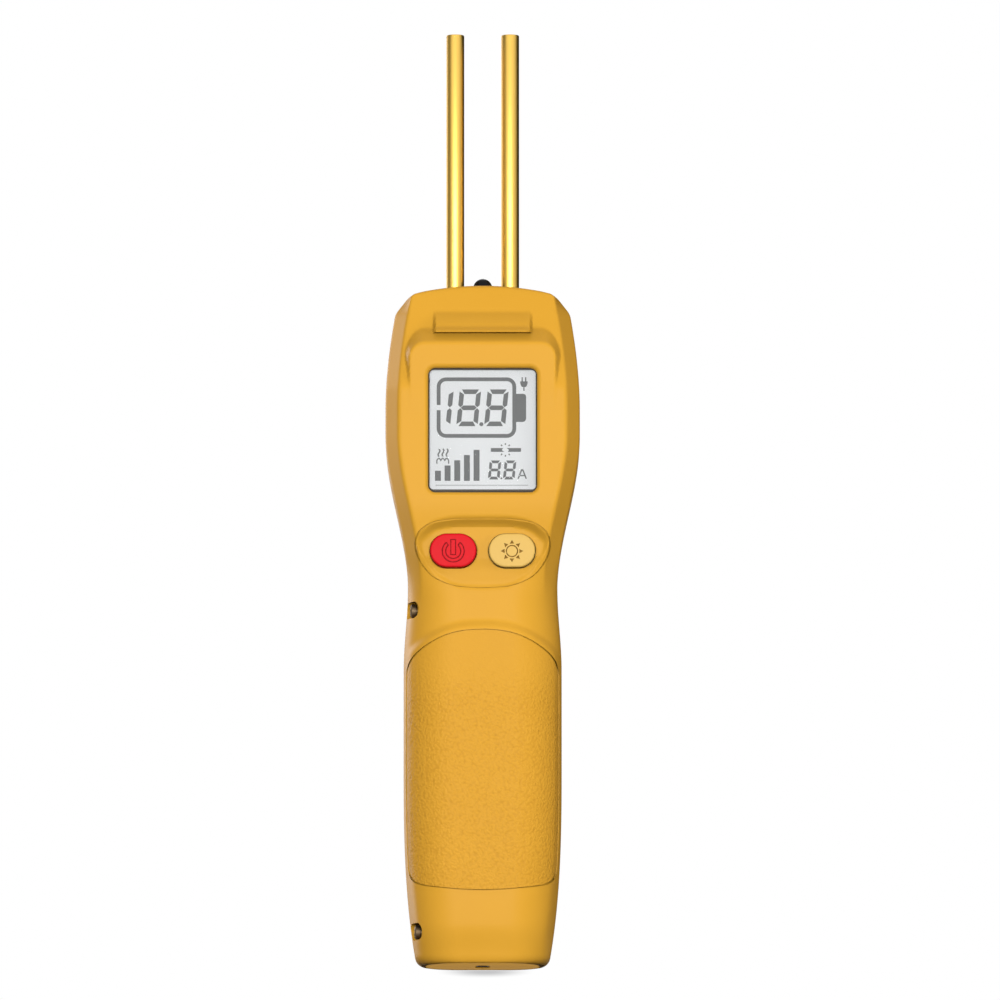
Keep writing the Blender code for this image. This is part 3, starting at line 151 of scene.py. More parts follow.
def softened(rule, z, reach=0.8 * MM):
    """The rule averaged over a short height, which rounds its creases as a mould would."""
    reach = min(reach, 0.45 * (TOP_Z - z), z)
    return sum(rule(z + reach * share) for share in (-1, -0.5, 0, 0.5, 1)) / 5


widths = [round(half_width(z) / MM, 1) for z in (0, 0.06, NECK_Z, HEAD_WIDE_Z)]
print("half width at base, grip, neck, head:", widths)

# %% [markdown]
# ## One row of points round the casing
# Each row is drawn as side, corner and face. The round corner of the neck and the flat chamfer of the head
# are mixed, so that one fades into the other without a crease. The row is then spaced evenly along its
# length and slightly smoothed. Even spacing lets the surface features below land on cells of one size, and
# the smoothing gives each edge the small radius that a moulded edge has. Without it, an edge looks cut from
# paper.

# %% Rows of the front and rear halves
COLUMNS = 211
SMOOTHING = np.array([1.0, 2.0, 3.0, 2.0, 1.0]) / 9.0


def evenly(points, count):
    """Points at equal distances along a polyline."""
    steps = np.hypot(*np.diff(points, axis=0).T)
    places = np.concatenate([[0.0], np.cumsum(steps)])
    wanted = np.linspace(0.0, places[-1], count)
    return np.column_stack([np.interp(wanted, places, points[:, axis]) for axis in (0, 1)])


def rounded(points):
    """The row with its corners rounded; its two ends stay where they are."""
    padded_row = np.vstack([np.repeat(points[:1], 2, axis=0), points, np.repeat(points[-1:], 2, axis=0)])
    smooth_row = np.column_stack([np.convolve(padded_row[:, axis], SMOOTHING, "valid") for axis in (0, 1)])
    smooth_row[0], smooth_row[-1] = points[0], points[-1]
    return smooth_row


def quarter(width, depth, reach_x, reach_y):
    """Round corner from the side to the face, with depth counted away from the seam."""
    turn = np.linspace(0.0, math.pi / 2, 49)
    across, out = width - reach_x + reach_x * np.cos(turn), depth - reach_y + reach_y * np.sin(turn)
    return np.column_stack([across, out])


def front_row(z, inset=0.0, columns=COLUMNS):
    head = float(ease((z - NECK_Z + 6 * MM) / (16 * MM)))
    width, depth = softened(half_width, z), softened(front_depth, z)
    width, depth = width - inset, depth - 0.45 * inset
    right = quarter(width, depth, min(13.4 * MM, 0.66 * width), min(13.6 * MM, depth - 1 * MM))
    narrow = float(np.clip((z - SHOULDER_Z) / (CROWN_Z - SHOULDER_Z), 0, 1))
    chamfer = max(3.5 * MM - 3.0 * MM * narrow, 0.4 * MM)
    flat = depth - 6.4 * MM * np.clip((right[:, 0] - width + chamfer) / chamfer, 0, 1)
    right[:, 1] += (np.maximum(flat, right[:, 1] * (right[:, 0] > width - 1e-6)) - right[:, 1]) * head
    right[:, 1] *= -1
    right = np.vstack([[right[0, 0], SEAM_Y - SEAM_CLEAR], right])
    left = right[::-1] * (-1, 1)
    return rounded(evenly(np.vstack([right, left]), columns))


def rear_row(z, inset=0.0, columns=COLUMNS):
    width, depth = softened(half_width, z), softened(rear_depth, z)
    reach_x = min(9 * MM, 0.7 * width)
    right = quarter(width - inset, depth - 0.45 * inset, reach_x, 0.75 * (depth - SEAM_Y))
    right = np.vstack([[right[0, 0], SEAM_Y + SEAM_CLEAR], right])
    left = right[::-1] * (-1, 1)
    return rounded(evenly(np.vstack([right, left]), columns))


def heights(low, high, step):
    """Row heights, closer together at the foot and over the crown."""
    foot = low + np.array([0, 0.12, 0.35, 0.7, 1.15, 1.7, 2.3]) * MM
    crown = TOP_Z - (TOP_Z - CROWN_Z) * np.linspace(1.0, 0.06, 16) ** 2
    body = np.arange(foot[-1] + step, CROWN_Z - 0.3 * step, step)
    brow = BROW_LOW_Z + np.array([-0.01, 0.01, 0.12, 0.3]) * MM
    body = body[(body < BROW_LOW_Z - 0.2 * MM) | (body > BROW_LOW_Z + 0.4 * MM)]
    return sorted(float(z) for z in np.concatenate([foot, body, brow, crown]) if z <= high)


BROW_HALF, BROW_LOW_Z, BROW_HIGH_Z, BROW_PROUD = 12.75 * MM, NECK_Z + 65.4 * MM, NECK_Z + 71.5 * MM, 2.8 * MM
rows_z = heights(0.0, TOP_Z, 0.5 * MM)
print(len(rows_z), "rows of", COLUMNS, "points")

# %% [markdown]
# ## Shapes on the face
# The raised display surround, the brow bar, the button recess and the swelling of the grip are written as
# heights over the face, and joined with a smooth maximum. It works like clay: where two heights cross, the
# edge gets a fillet of a chosen radius, which a Boolean can't give.

# %% Smooth limits and outlines
def above_zero(value, radius):
    """max(value, 0) with a rounded kink."""
    blend = (value + radius) ** 2 / (4 * radius)
    return np.where(value > radius, value, np.where(value < -radius, 0.0, blend))


def box_distance(x, z, half_x, high_z, radius):
    """Distance outside a box with round upper corners, and how much of it is sideways."""
    out_x, out_z = np.abs(x) - half_x + radius, z - high_z + radius
    side, up = np.maximum(out_x, 0), np.maximum(out_z, 0)
    distance = np.hypot(side, up) + np.minimum(np.maximum(out_x, out_z), 0) - radius
    return distance, side ** 2 / (side ** 2 + up ** 2 + 1e-12)


def outline_distance(x, z, outline):
    """Signed distance to a closed outline, negative inside."""
    start = np.array(outline)
    end = np.roll(start, -1, axis=0)
    nearest = np.full(x.shape, 1e9)
    inside = np.zeros(x.shape, bool)
    for (ax, az), (bx, bz) in zip(start, end):
        dx, dz = bx - ax, bz - az
        share = np.clip(((x - ax) * dx + (z - az) * dz) / (dx * dx + dz * dz), 0, 1)
        nearest = np.minimum(nearest, np.hypot(x - ax - share * dx, z - az - share * dz))
        inside ^= ((az > z) != (bz > z)) & (x < ax + (z - az) * dx / (dz if dz else 1e-12))
    return np.where(inside, -nearest, nearest)


def smooth_loop(points, steps=6):
    """Closed curve through the points."""
    knots = np.array(points)
    before, after, later = np.roll(knots, 1, 0), np.roll(knots, -1, 0), np.roll(knots, -2, 0)
    rows = []
    square, cube = 2 * before - 5 * knots + 4 * after - later, 3 * knots - before - 3 * after + later
    for t in np.arange(steps) / steps:
        rows.append(0.5 * (2 * knots + (after - before) * t + square * t * t + cube * t ** 3))
    return np.stack(rows, axis=1).reshape(-1, 2)


button_low, button_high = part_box("power_button")
heat_low, heat_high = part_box("heat_button")
FLANGE = 0.8 * MM
BUTTON_HALF_X = (button_high.x - button_low.x) / 2 - FLANGE
BUTTON_HALF_Z = (button_high.z - button_low.z) / 2 - FLANGE
BUTTON_Z = (button_low.z + button_high.z) / 2
BUTTON_X = (heat_low.x + heat_high.x) / 2
RECESS_FLOOR_Y = button_low.y + 2.0 * MM


def recess_outline(grow=0.0):
    """D shape round the buttons, at the level of the recess floor."""
    half = BUTTON_X + BUTTON_HALF_X + 2.1 * MM + grow
    top = BUTTON_Z + BUTTON_HALF_Z + 2.0 * MM + grow
    low = BUTTON_Z - BUTTON_HALF_Z - 4.1 * MM - 0.3 * grow
    right = [(0.15 * half, low), (0.45 * half, low + 0.6 * MM), (0.74 * half, low + 2.9 * MM),
             (0.93 * half, low + 6.9 * MM), (half, BUTTON_Z + 1.7 * MM), (0.94 * half, top - 3.3 * MM),
             (0.75 * half, top - 1.0 * MM), (0.45 * half, top - 0.1 * MM), (0.15 * half, top)]
    return smooth_loop(right + [(-x, z) for x, z in reversed(right)])


print("buttons at x", round(BUTTON_X / MM, 2), "mm, recess outline of", len(recess_outline()), "points")

# %% [markdown]
# ## Grip inlay outline
# The inlay is a separate soft-touch piece let into the casing. Seen from the front it has a shallow smile
# below, an arch above and sides that follow the casing. The casing swells to meet it, so its surface stands
# a little proud of the neck, with a short ramp above the arch.

# %% Inlay outline and the swelling under it
PAD_LOW_Z, PAD_SMILE, PAD_ARCH, PAD_APEX_Z = 18.7 * MM, 1.8 * MM, 8.0 * MM, NECK_Z - 12 * MM
PAD_MARGIN, PAD_BLEND, PAD_PROUD, PAD_SUNK, RAMP = 0.9 * MM, 3.2 * MM, 1.4 * MM, 0.8 * MM, 2.6 * MM
ARCH_POWER = 2.4
PAD_SWELL = PAD_PROUD * 0.93


def pad_outline(grow=0.0, steps=24):
    """The inlay's outline, moved out by a margin: smile, blend, side, arch, side and blend."""
    low, apex = PAD_LOW_Z - grow, PAD_APEX_Z + grow
    side_high = half_width(apex - PAD_ARCH) - PAD_MARGIN + grow
    smile_low = half_width(low + PAD_SMILE) - 2.4 * MM + grow
    smile = [(smile_low * share, low + PAD_SMILE * share * share) for share in np.linspace(-1, 1, steps)]
    corner_z = low + PAD_SMILE
    blend = []
    for turn in np.linspace(0.2, 1.57, 7):
        z = corner_z + PAD_BLEND * (1 - math.cos(turn))
        blend.append((smile_low + (half_width(z) - PAD_MARGIN + grow - smile_low) * math.sin(turn), z))
    side_z = np.linspace(corner_z + 4.2 * MM, apex - PAD_ARCH - 1.2 * MM, steps)
    side = [(half_width(z) - PAD_MARGIN + grow, z) for z in side_z]
    shares = np.linspace(0.985, -0.985, 2 * steps)
    arch = [(side_high * share, apex - PAD_ARCH * abs(share) ** ARCH_POWER) for share in shares]
    right = blend + side
    loop = np.array(smile + right + arch + [(-x, z) for x, z in reversed(right)] + [smile[0]])
    loop = evenly(loop, 301)[:-1]
    kernel = np.hanning(19)[1:-1] / np.hanning(19).sum()
    around = np.vstack([loop[-8:], loop, loop[:8]])
    loop = np.column_stack([np.convolve(around[:, axis], kernel, "valid") for axis in (0, 1)])
    return [(float(x), float(z)) for x, z in loop]


def ramp_height(x, z):
    """1 on the grip, 0 on the neck, with a ramp above the arch."""
    share = np.clip(np.abs(x) / half_width(PAD_APEX_Z - PAD_ARCH), 0, 1)
    line = PAD_APEX_Z - PAD_ARCH * share ** ARCH_POWER
    return 1 - ease((z - line - 0.5 * MM) / RAMP)


print("inlay outline of", len(pad_outline()), "points")

# %% [markdown]
# ## Front casing
# The rows are stacked into a sheet, the face features are pressed into it, and the sheet is closed at the
# seam. Then the holes are cut: window, buttons, inlay pocket, screw recesses, electrodes, lamp and port.
# Blender's manifold Boolean is fast and exact on closed meshes, which these all are.

# %% Mesh helpers
def placed(name, data):
    """A new object in the scene that carries this data."""
    item = bpy.data.objects.new(name, data)
    bpy.context.scene.collection.objects.link(item)
    return item


def new_object(name, shape, smooth_angle=32.0):
    """A named object from a bmesh, faces outward, shaded smooth between sharp edges."""
    bmesh.ops.recalc_face_normals(shape, faces=shape.faces)
    mesh = bpy.data.meshes.new(name)
    shape.to_mesh(mesh)
    shape.free()
    mesh.shade_smooth()
    mesh.set_sharp_from_angle(angle=math.radians(smooth_angle))
    return placed(name, mesh)


def stack(name, rings, smooth_angle=32.0):
    """Closed solid through rings with the same number of points, capped at both ends."""
    shape = bmesh.new()
    made = [[shape.verts.new(point) for point in ring] for ring in rings]
    count = len(made[0])
    for lower, upper in zip(made, made[1:]):
        for place in range(count):
            after = (place + 1) % count
            shape.faces.new((lower[place], lower[after], upper[after], upper[place]))
    shape.faces.new(list(reversed(made[0])))
    shape.faces.new(made[-1])
    return new_object(name, shape, smooth_angle)


def slab(name, outline, low_y, high_y):
    """Outline in X and Z, extruded along Y."""
    return stack(name, [[(x, y, z) for x, z in outline] for y in (low_y, high_y)])


def spun(name, profile, centre, axis, sides):
    """Solid of revolution from (radius, distance) pairs; a radius of 0 at both ends closes it."""
    turn = Vector((0, 0, 1)).rotation_difference(Vector(axis).normalized()).to_matrix().to_4x4()
    place = Matrix.Translation(Vector(centre)) @ turn
    solid = profile[0][0] == 0.0
    shape = bmesh.new()
    rings = []
    for radius, height in (profile[1:-1] if solid else profile):
        angles = [2 * math.pi * side / sides for side in range(sides)]
        rings.append([shape.verts.new(place @ Vector((radius * math.cos(a), radius * math.sin(a), height)))
                      for a in angles])
    pairs = list(zip(rings, rings[1:])) + ([] if solid else [(rings[-1], rings[0])])
    for lower, upper in pairs:
        for side in range(sides):
            after = (side + 1) % sides
            shape.faces.new((lower[side], lower[after], upper[after], upper[side]))
    if solid:
        shape.faces.new(list(reversed(rings[0])))
        shape.faces.new(rings[-1])
    return new_object(name, shape)


def drill(start, end, radius, sides=40):
    """A round tool from one point to another."""
    way = Vector(end) - Vector(start)
    return spun("hole", [(0, 0), (radius, 0), (radius, way.length), (0, way.length)], start, way, sides)


def carve(target, tool, operation="DIFFERENCE"):
    """Apply one Boolean and remove the tool."""
    step = target.modifiers.new("carve", "BOOLEAN")
    step.operation, step.solver, step.object = operation, "MANIFOLD", tool
    graph = bpy.context.evaluated_depsgraph_get()
    graph.update()
    mesh = bpy.data.meshes.new_from_object(target.evaluated_get(graph))
    target.modifiers.clear()
    target.data = mesh
    bpy.data.objects.remove(tool, do_unlink=True)
    return target


def box_solid(name, low, high):
    """A plain box between two corners."""
    outline = [(low[0], low[2]), (high[0], low[2]), (high[0], high[2]), (low[0], high[2])]
    return slab(name, outline, low[1], high[1])


def round_box(half_x, low_z, high_z, radius, steps=8, centre_x=0.0, tall=None):
    """Outline with round corners; tall gives them another radius upwards."""
    tall = radius if tall is None else tall
    corners = ((half_x - radius, low_z + tall, -90), (half_x - radius, high_z - tall, 0),
               (radius - half_x, high_z - tall, 90), (radius - half_x, low_z + tall, 180))
    return [(centre_x + x + radius * math.cos(math.radians(start + 90 * step / steps)),
             z + tall * math.sin(math.radians(start + 90 * step / steps)))
            for x, z, start in corners for step in range(steps + 1)]


def button_outline(grow, centre_x):
    """Flat above and below, with nearly elliptical ends."""
    low, high = BUTTON_Z - BUTTON_HALF_Z + 0.45 * MM - grow, BUTTON_Z + BUTTON_HALF_Z + grow
    return round_box(BUTTON_HALF_X - 0.1 * MM + grow, low, high, 4.4 * MM + grow, 16, centre_x,
                     (high - low) / 2 - 0.05 * MM)


print("helpers ready")

# %% Press the face features into the rows
PLATEAU_HALF, PLATEAU_TOP_Z = 19.0 * MM, window_high.z + 0.3 * MM + 6.6 * MM


def pressed(x, y, z):
    """The front surface y after the features at (x, z); more negative stands further out."""
    facing = ease((-y - 4 * MM) / (5 * MM))
    y = y - PAD_SWELL * ramp_height(x, z) * facing * ease((z - 1 * MM) / (9 * MM))
    lean = ease((z - FACE_HIGH_Z + 9 * MM) / (9 * MM))
    distance, sideways = box_distance(x, z, PLATEAU_HALF, PLATEAU_TOP_Z, 4 * MM)
    wall = (1.386 + 1.3 * sideways) * above_zero(distance, 0.35 * MM)
    plateau = -HEAD_FRONT + (FACE_Y + HEAD_FRONT) * lean + wall
    plateau = plateau + 0.6 * MM * ease((FACE_HIGH_Z - 2 * MM - z) / (10 * MM))
    plateau = plateau + 30 * MM * (z < FACE_LOW_Z)
    y = y - above_zero(y - plateau, 0.3 * MM)
    share = (z - BROW_LOW_Z) / (BROW_HIGH_Z - BROW_LOW_Z)
    rim = 1 - 0.07 * (1 - ease((z - BROW_LOW_Z) / (0.35 * MM)))
    hump = np.cos(np.clip(share, 0, 1) * math.pi / 2) * rim * (z > BROW_LOW_Z)
    hump = hump * ease((BROW_HALF + 0.2 * MM - np.abs(x)) / (0.8 * MM))
    y = y - BROW_PROUD * hump
    near = np.abs(z - BUTTON_Z) < 16 * MM
    recess = np.full(x.shape, 1.0)
    if near.any():
        recess[near] = outline_distance(x[near], z[near], recess_outline())
        steep = 0.85 + 0.45 * ease((z - BUTTON_Z - 2 * MM) / (5 * MM))
        bed = RECESS_FLOOR_Y + 0.95 * MM * ease((BUTTON_Z - 1 * MM - z) / (8 * MM))
        floor = bed - steep * above_zero(recess, 0.3 * MM)
        step = 0.5 * MM * ease(0.5 - recess / (0.9 * MM))
        y = np.where(near, np.maximum(y + step, y + above_zero(floor - y, 0.22 * MM)), y)
    return y


def front_rings():
    rings = []
    for z in rows_z:
        row = front_row(z, foot_inset(z))
        x, y = row[:, 0], row[:, 1]
        level = np.full(x.shape, z)
        y = np.where(y < SEAM_Y - 4 * MM, pressed(x, y, level), y)
        y = y + crown_drop(row, z, -y / (4 * MM))
        rings.append(np.column_stack([x, y, level]))
    return rings


front_points = front_rings()
print("face pressed:", len(front_points) * COLUMNS, "points")

# %% Close the sheet, hollow it and cut its holes
def inner_form(name, low, high, front_limit):
    """The hollow inside both shells, as a plain closed form."""
    rings = []
    for z in np.linspace(low, high, 60):
        front = front_row(float(z), WALL, 61)
        if BUTTON_Z - 12 * MM < z < BUTTON_Z + 11 * MM:
            front[:, 1] = np.maximum(front[:, 1], front_limit)
        rear = rear_row(float(z), WALL, 61)
        rings.append([(x, y, z) for x, y in np.vstack([front, rear[::-1]])])
    return stack(name, rings)


def casing_cutters(shell):
    """Holes on the seam, which both shells share."""
    for node in ("electrode_left", "electrode_right", "lamp"):
        low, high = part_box(node)
        centre = (low + high) / 2
        radius = {"lamp": 2.5 * MM}.get(node, (high.x - low.x) / 2) + GAP
        start, end = (centre.x, SEAM_Y, CROWN_Z - 8 * MM), (centre.x, SEAM_Y, TOP_Z + 4 * MM)
        carve(shell, drill(start, end, radius))
    low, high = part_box("charge_port")
    carve(shell, port_form("hole", (high.x - low.x) / 2 + GAP, (high.y - low.y) / 2 + GAP, -1 * MM, 4 * MM))


def port_form(name, half_x, half_y, low_z, high_z):
    """Stadium section, its long side front to back."""
    ring = []
    for centre, start in ((half_y - half_x, 0), (half_x - half_y, 180)):
        for step in range(13):
            angle = math.radians(start + 15 * step)
            ring.append((half_x * math.cos(angle), SEAM_Y + centre + half_x * math.sin(angle)))
    return stack(name, [[(x, y, z) for x, y in ring] for z in (low_z, high_z)])


def seam_outline(inset):
    """The casing's outline in the seam plane, set in by a margin."""
    right = []
    for share in np.linspace(0, 1, 200):
        z = share * TOP_Z
        half = max(half_width(z) - foot_inset(z) - inset, 0.05 * MM)
        right.append((half, inset + share * (TOP_Z - 2 * inset)))
    return right + [(-x, z) for x, z in reversed(right)]


def seam_groove(shell):
    """The fine line where the shells meet: a groove, closed behind."""
    ring = slab("seam", seam_outline(-MM), SEAM_Y - GAP / 2, SEAM_Y + GAP / 2)
    carve(ring, slab("core", seam_outline(SEAM_DEEP), SEAM_Y - GAP, SEAM_Y + GAP))
    carve(shell, ring)


front_casing = stack("front_casing", front_points)
carve(front_casing, inner_form("hollow", 2.5 * MM, CROWN_Z - 1.7 * MM, RECESS_FLOOR_Y + 2 * MM))
lip_back = window_high.y
lcd_low, lcd_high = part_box("lcd_panel")
window_hole = round_box(window_high.x + GAP, window_low.z - GAP, window_high.z + GAP, 1.9 * MM)
carve(front_casing, slab("hole", window_hole, FACE_Y - 5 * MM, lip_back + 0.01 * MM))
# The opening's front edge flares out with a rounded lip: growth and depth, both in millimetres.
flare = []
for grow, y in ((0.02, 0.95), (0.14, 0.62), (0.38, 0.34), (0.7, 0.14), (1.1, -0.03), (1.4, -0.9)):
    edge = round_box(window_high.x + GAP + grow * MM, window_low.z - GAP - grow * MM,
                     window_high.z + GAP + grow * MM, (1.9 + grow) * MM)
    flare.append([(x, FACE_Y + y * MM, z) for x, z in edge])
carve(front_casing, stack("flare", flare))
pocket = round_box(lcd_high.x + 0.4 * MM, lcd_low.z - 2.5 * MM, lcd_high.z + 0.4 * MM, 0.8 * MM)
carve(front_casing, slab("hole", pocket, lip_back, lip_back + 9 * MM))
for side in (-1, 1):
    hole = button_outline(0.2 * MM, side * BUTTON_X)
    carve(front_casing, slab("hole", hole, FACE_Y - 5 * MM, RECESS_FLOOR_Y + 6 * MM))
    room = button_outline(FLANGE + GAP, side * BUTTON_X)
    carve(front_casing, slab("hole", room, RECESS_FLOOR_Y + 2 * MM, RECESS_FLOOR_Y + 6 * MM))
casing_cutters(front_casing)
seam_groove(front_casing)
# The side screws sit in slots that widen forward, so that the screws can be reached.
for node in ("side_screw_lower", "side_screw_upper"):
    low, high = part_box(node)
    middle = (low + high) / 2
    seat = low.x + 1.5 * MM + GAP
    for lean in np.linspace(0, 1, 7):
        start = (low.x - 9 * MM + lean * 4.8 * MM, middle.y - lean * 10.5 * MM, middle.z)
        end = (seat + lean * 0.1 * MM, middle.y - lean * 2.6 * MM, middle.z)
        carve(front_casing, drill(start, end, 2.15 * MM))
print("front casing:", len(front_casing.data.polygons), "faces")

# %% Fine line round the button recess
def recess_line():
    """A thin ring let into the casing just outside the recess."""
    half_line = 0.17 * MM
    ring = slab("line", recess_outline(1.65 * MM + half_line), -26 * MM, -8 * MM)
    carve(ring, slab("inside", recess_outline(1.65 * MM - half_line), -30 * MM, -4 * MM))
    rings = []
    for z in np.linspace(NECK_Z - 6 * MM, NECK_Z + 24 * MM, 60):
        row = front_row(float(z), 0.0, 121)
        row[:, 1] = np.minimum(row[:, 1] + 0.75 * MM, SEAM_Y)
        rings.append([(x, y, z) for x, y in row] + [(row[-1, 0], 12 * MM, z), (row[0, 0], 12 * MM, z)])
    return carve(ring, stack("bed", rings))


carve(front_casing, recess_line())
print("front casing with line:", len(front_casing.data.polygons), "faces")

# %% Pocket for the inlay
def grip_core(name, inset, steps=150):
    """The casing's form near the grip, drawn in by an inset, for the inlay and its pocket."""
    rings = []
    for z in np.linspace(6 * MM, NECK_Z, steps):
        front = front_row(float(z), 0.0, 141)
        x, y = front[:, 0], front[:, 1]
        facing = ease((-y - 4 * MM) / (5 * MM))
        y = y - PAD_SWELL * facing
        lean = np.gradient(y) / np.where(np.abs(np.gradient(x)) < 1e-9, 1e-9, np.gradient(x))
        y = np.minimum(y + inset * np.minimum(np.sqrt(1 + lean ** 2), 2.2), 0.5 * MM)
        rings.append([(px, py, z) for px, py in zip(x, y)] + [(x[-1], 12 * MM, z), (x[0], 12 * MM, z)])
    return stack(name, rings)


GROOVE = 0.32 * MM
pad_cutter = slab("pad_cutter", pad_outline(GROOVE), -26 * MM, -6.0 * MM)
carve(pad_cutter, grip_core("pad_floor", PAD_SUNK))
carve(front_casing, pad_cutter)
print("front casing with pocket:", len(front_casing.data.polygons), "faces")

# %% [markdown]
# ## Grip inlay
# The inlay is the same form raised by a hair, cut to the outline, with a rounded edge. Its grain is too fine
# for geometry alone, so the mesh carries the broad crown and the rounded edge, and the material carries the
# grain.

# %% Make the inlay
grip_inlay = slab("grip_inlay", pad_outline(0.0), -26 * MM, -6.3 * MM)
carve(grip_inlay, grip_core("pad_skin", -0.08 * MM), "INTERSECT")
carve(grip_inlay, grip_core("pad_floor", PAD_SUNK - GAP))
print("grip inlay:", len(grip_inlay.data.polygons), "faces")

# %% [markdown]
# ## Rear casing
# The rear half is plain, so its rows are further apart. It meets the front half at the seam. A fine groove,
# closed behind, shows there as the dark line down each side of the real tool.

# %% Make the rear casing
rear_rings = []
for z in heights(0.0, TOP_Z, 1.1 * MM):
    row = rear_row(z, foot_inset(z), 111)
    drop = crown_drop(row, z, row[:, 1] / (5 * MM))
    rear_rings.append(np.column_stack([row[:, 0], row[:, 1] - drop, np.full(len(row), z)]))
rear_casing = stack("rear_casing", rear_rings)
carve(rear_casing, inner_form("hollow", 2.5 * MM, CROWN_Z - 1.7 * MM, RECESS_FLOOR_Y + 2 * MM))
casing_cutters(rear_casing)
seam_groove(rear_casing)
print("rear casing:", len(rear_casing.data.polygons), "faces")

# %% [markdown]
# ## Display
# A clear pane sits in the opening over a thin dark gasket, and the liquid-crystal panel lies behind it.
# The segments are separate thin plates on the panel, because crisp shapes stay crisp as geometry. Digits
# and symbols are generic.

# %% Pane, gasket and panel
def rimmed(name, half_x, low_z, high_z, radius, back_y, front_y, edge):
    """Rounded plate with a small bevel round its front face."""
    rings = []
    for inset, y in ((0, back_y), (0, front_y + edge), (0.3 * edge, front_y + 0.3 * edge), (edge, front_y)):
        outline = round_box(half_x - inset, low_z + inset, high_z - inset, max(radius - inset, 0.1 * MM))
        rings.append([(x, y, z) for x, z in outline])
    return stack(name, rings)


clear_window = rimmed("clear_window", window_high.x, window_low.z, window_high.z, 1.6 * MM,
                      window_high.y, window_low.y, 0.2 * MM)
rim_low, rim_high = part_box("window_gasket")
outer = round_box(rim_high.x, rim_low.z, rim_high.z, 1.8 * MM)
inner = round_box(window_high.x - 0.04 * MM, window_low.z + 0.55 * MM, window_high.z - 0.15 * MM, 1.0 * MM)
window_rim = slab("window_rim", outer, rim_low.y, rim_high.y)
carve(window_rim, slab("hole", inner, rim_low.y - MM, rim_high.y + MM))
display_face = rimmed("display_face", lcd_high.x, lcd_low.z, lcd_high.z, 0.3 * MM,
                      lcd_high.y, lcd_low.y, 0.1 * MM)
print("display parts at y", [round(v / MM, 2) for v in (window_low.y, rim_low.y, lcd_low.y)])

# %% Thin plates for the segments
MARK_Z = (window_low.z + window_high.z) / 2
MARK_Y = lcd_low.y
MARK_THICK = 0.05 * MM
marks = bmesh.new()


def plate(points):
    """A flat mark in millimetres from the middle of the display."""
    rings = []
    for y in (MARK_Y + 0.01 * MM, MARK_Y - MARK_THICK):
        rings.append([marks.verts.new((x * MM, y, MARK_Z + z * MM)) for x, z in points])
    count = len(points)
    for place in range(count):
        after = (place + 1) % count
        marks.faces.new((rings[0][place], rings[0][after], rings[1][after], rings[1][place]))
    marks.faces.new(rings[0][::-1])
    marks.faces.new(rings[1])


def stroke(points, width, closed=False):
    """A line of even width, one plate for each piece, with mitred joints."""
    path = [Vector(point) for point in points]
    count = len(path)
    sides = []
    for place in range(count):
        before = path[place - 1] if closed or place else path[place]
        after = path[(place + 1) % count] if closed or place < count - 1 else path[place]
        way_in, way_out = (path[place] - before).normalized(), (after - path[place]).normalized()
        along = (way_in + way_out).normalized()
        across = Vector((-along.y, along.x))
        out_side, in_side = Vector((-way_out.y, way_out.x)), Vector((-way_in.y, way_in.x))
        reach = width / 2 / max(0.5, abs(across.dot(out_side) or across.dot(in_side)))
        sides.append((path[place] + across * reach, path[place] - across * reach))
    for place in range(count if closed else count - 1):
        (a, b), (c, d) = sides[place], sides[(place + 1) % count]
        plate([a, c, d, b])


def round_path(low_x, low_z, high_x, high_z, radius, steps=6):
    """Points round a box with round corners, from the lower right upwards."""
    corners = ((high_x - radius, low_z + radius, -90), (high_x - radius, high_z - radius, 0),
               (low_x + radius, high_z - radius, 90), (low_x + radius, low_z + radius, 180))
    return [(x + radius * math.cos(math.radians(start + 90 * step / steps)),
             z + radius * math.sin(math.radians(start + 90 * step / steps)))
            for x, z, start in corners for step in range(steps + 1)]


SEGMENTS = {"8": "abcdefg", "1": "bc"}


def digit(figure, low_x, high_x, low_z, high_z, width, slant=0.10):
    """Seven-segment figure leaning to the right: mitred at its corners, pointed at its middle."""
    middle, half = (low_z + high_z) / 2, width / 2
    left, right = low_x + half, high_x - half - slant * (high_z - low_z)
    low, high, gap = low_z + half, high_z - half, 0.09 * width
    places = {"a": (left, high, right, high, 1, 1, 1), "d": (left, low, right, low, -1, 1, 1),
              "g": (left, middle, right, middle, 1, 0, 0), "f": (left, high, left, middle, -1, 1, 0),
              "b": (right, high, right, middle, 1, 1, 0), "e": (left, low, left, middle, 1, 1, 0),
              "c": (right, low, right, middle, -1, 1, 0)}
    for key in SEGMENTS[figure]:
        ax, az, bx, bz, outer, mitre_a, mitre_b = places[key]
        start, end = Vector((ax, az)), Vector((bx, bz))
        way = (end - start).normalized()
        across = Vector((-way.y, way.x)) * half * outer
        corners = []
        for point, along, mitre in ((start, way, mitre_a), (end, -way, mitre_b)):
            if mitre:
                tips = [point + along * (gap - 0.25 * half) + across, point + along * (gap + half) - across]
            else:
                shoulder = point + along * (gap + half)
                tips = [shoulder + across, point + along * gap, shoulder - across]
            corners += tips if point is start else tips[::-1]
        plate([(p.x + slant * (p.y - low_z), p.y) for p in corners])


def disc(x, z, radius):
    """A round dot."""
    plate([(x + radius * math.cos(math.radians(turn)), z + radius * math.sin(math.radians(turn)))
           for turn in range(0, 360, 20)])


print("plates are", MARK_THICK / MM, "mm thick")

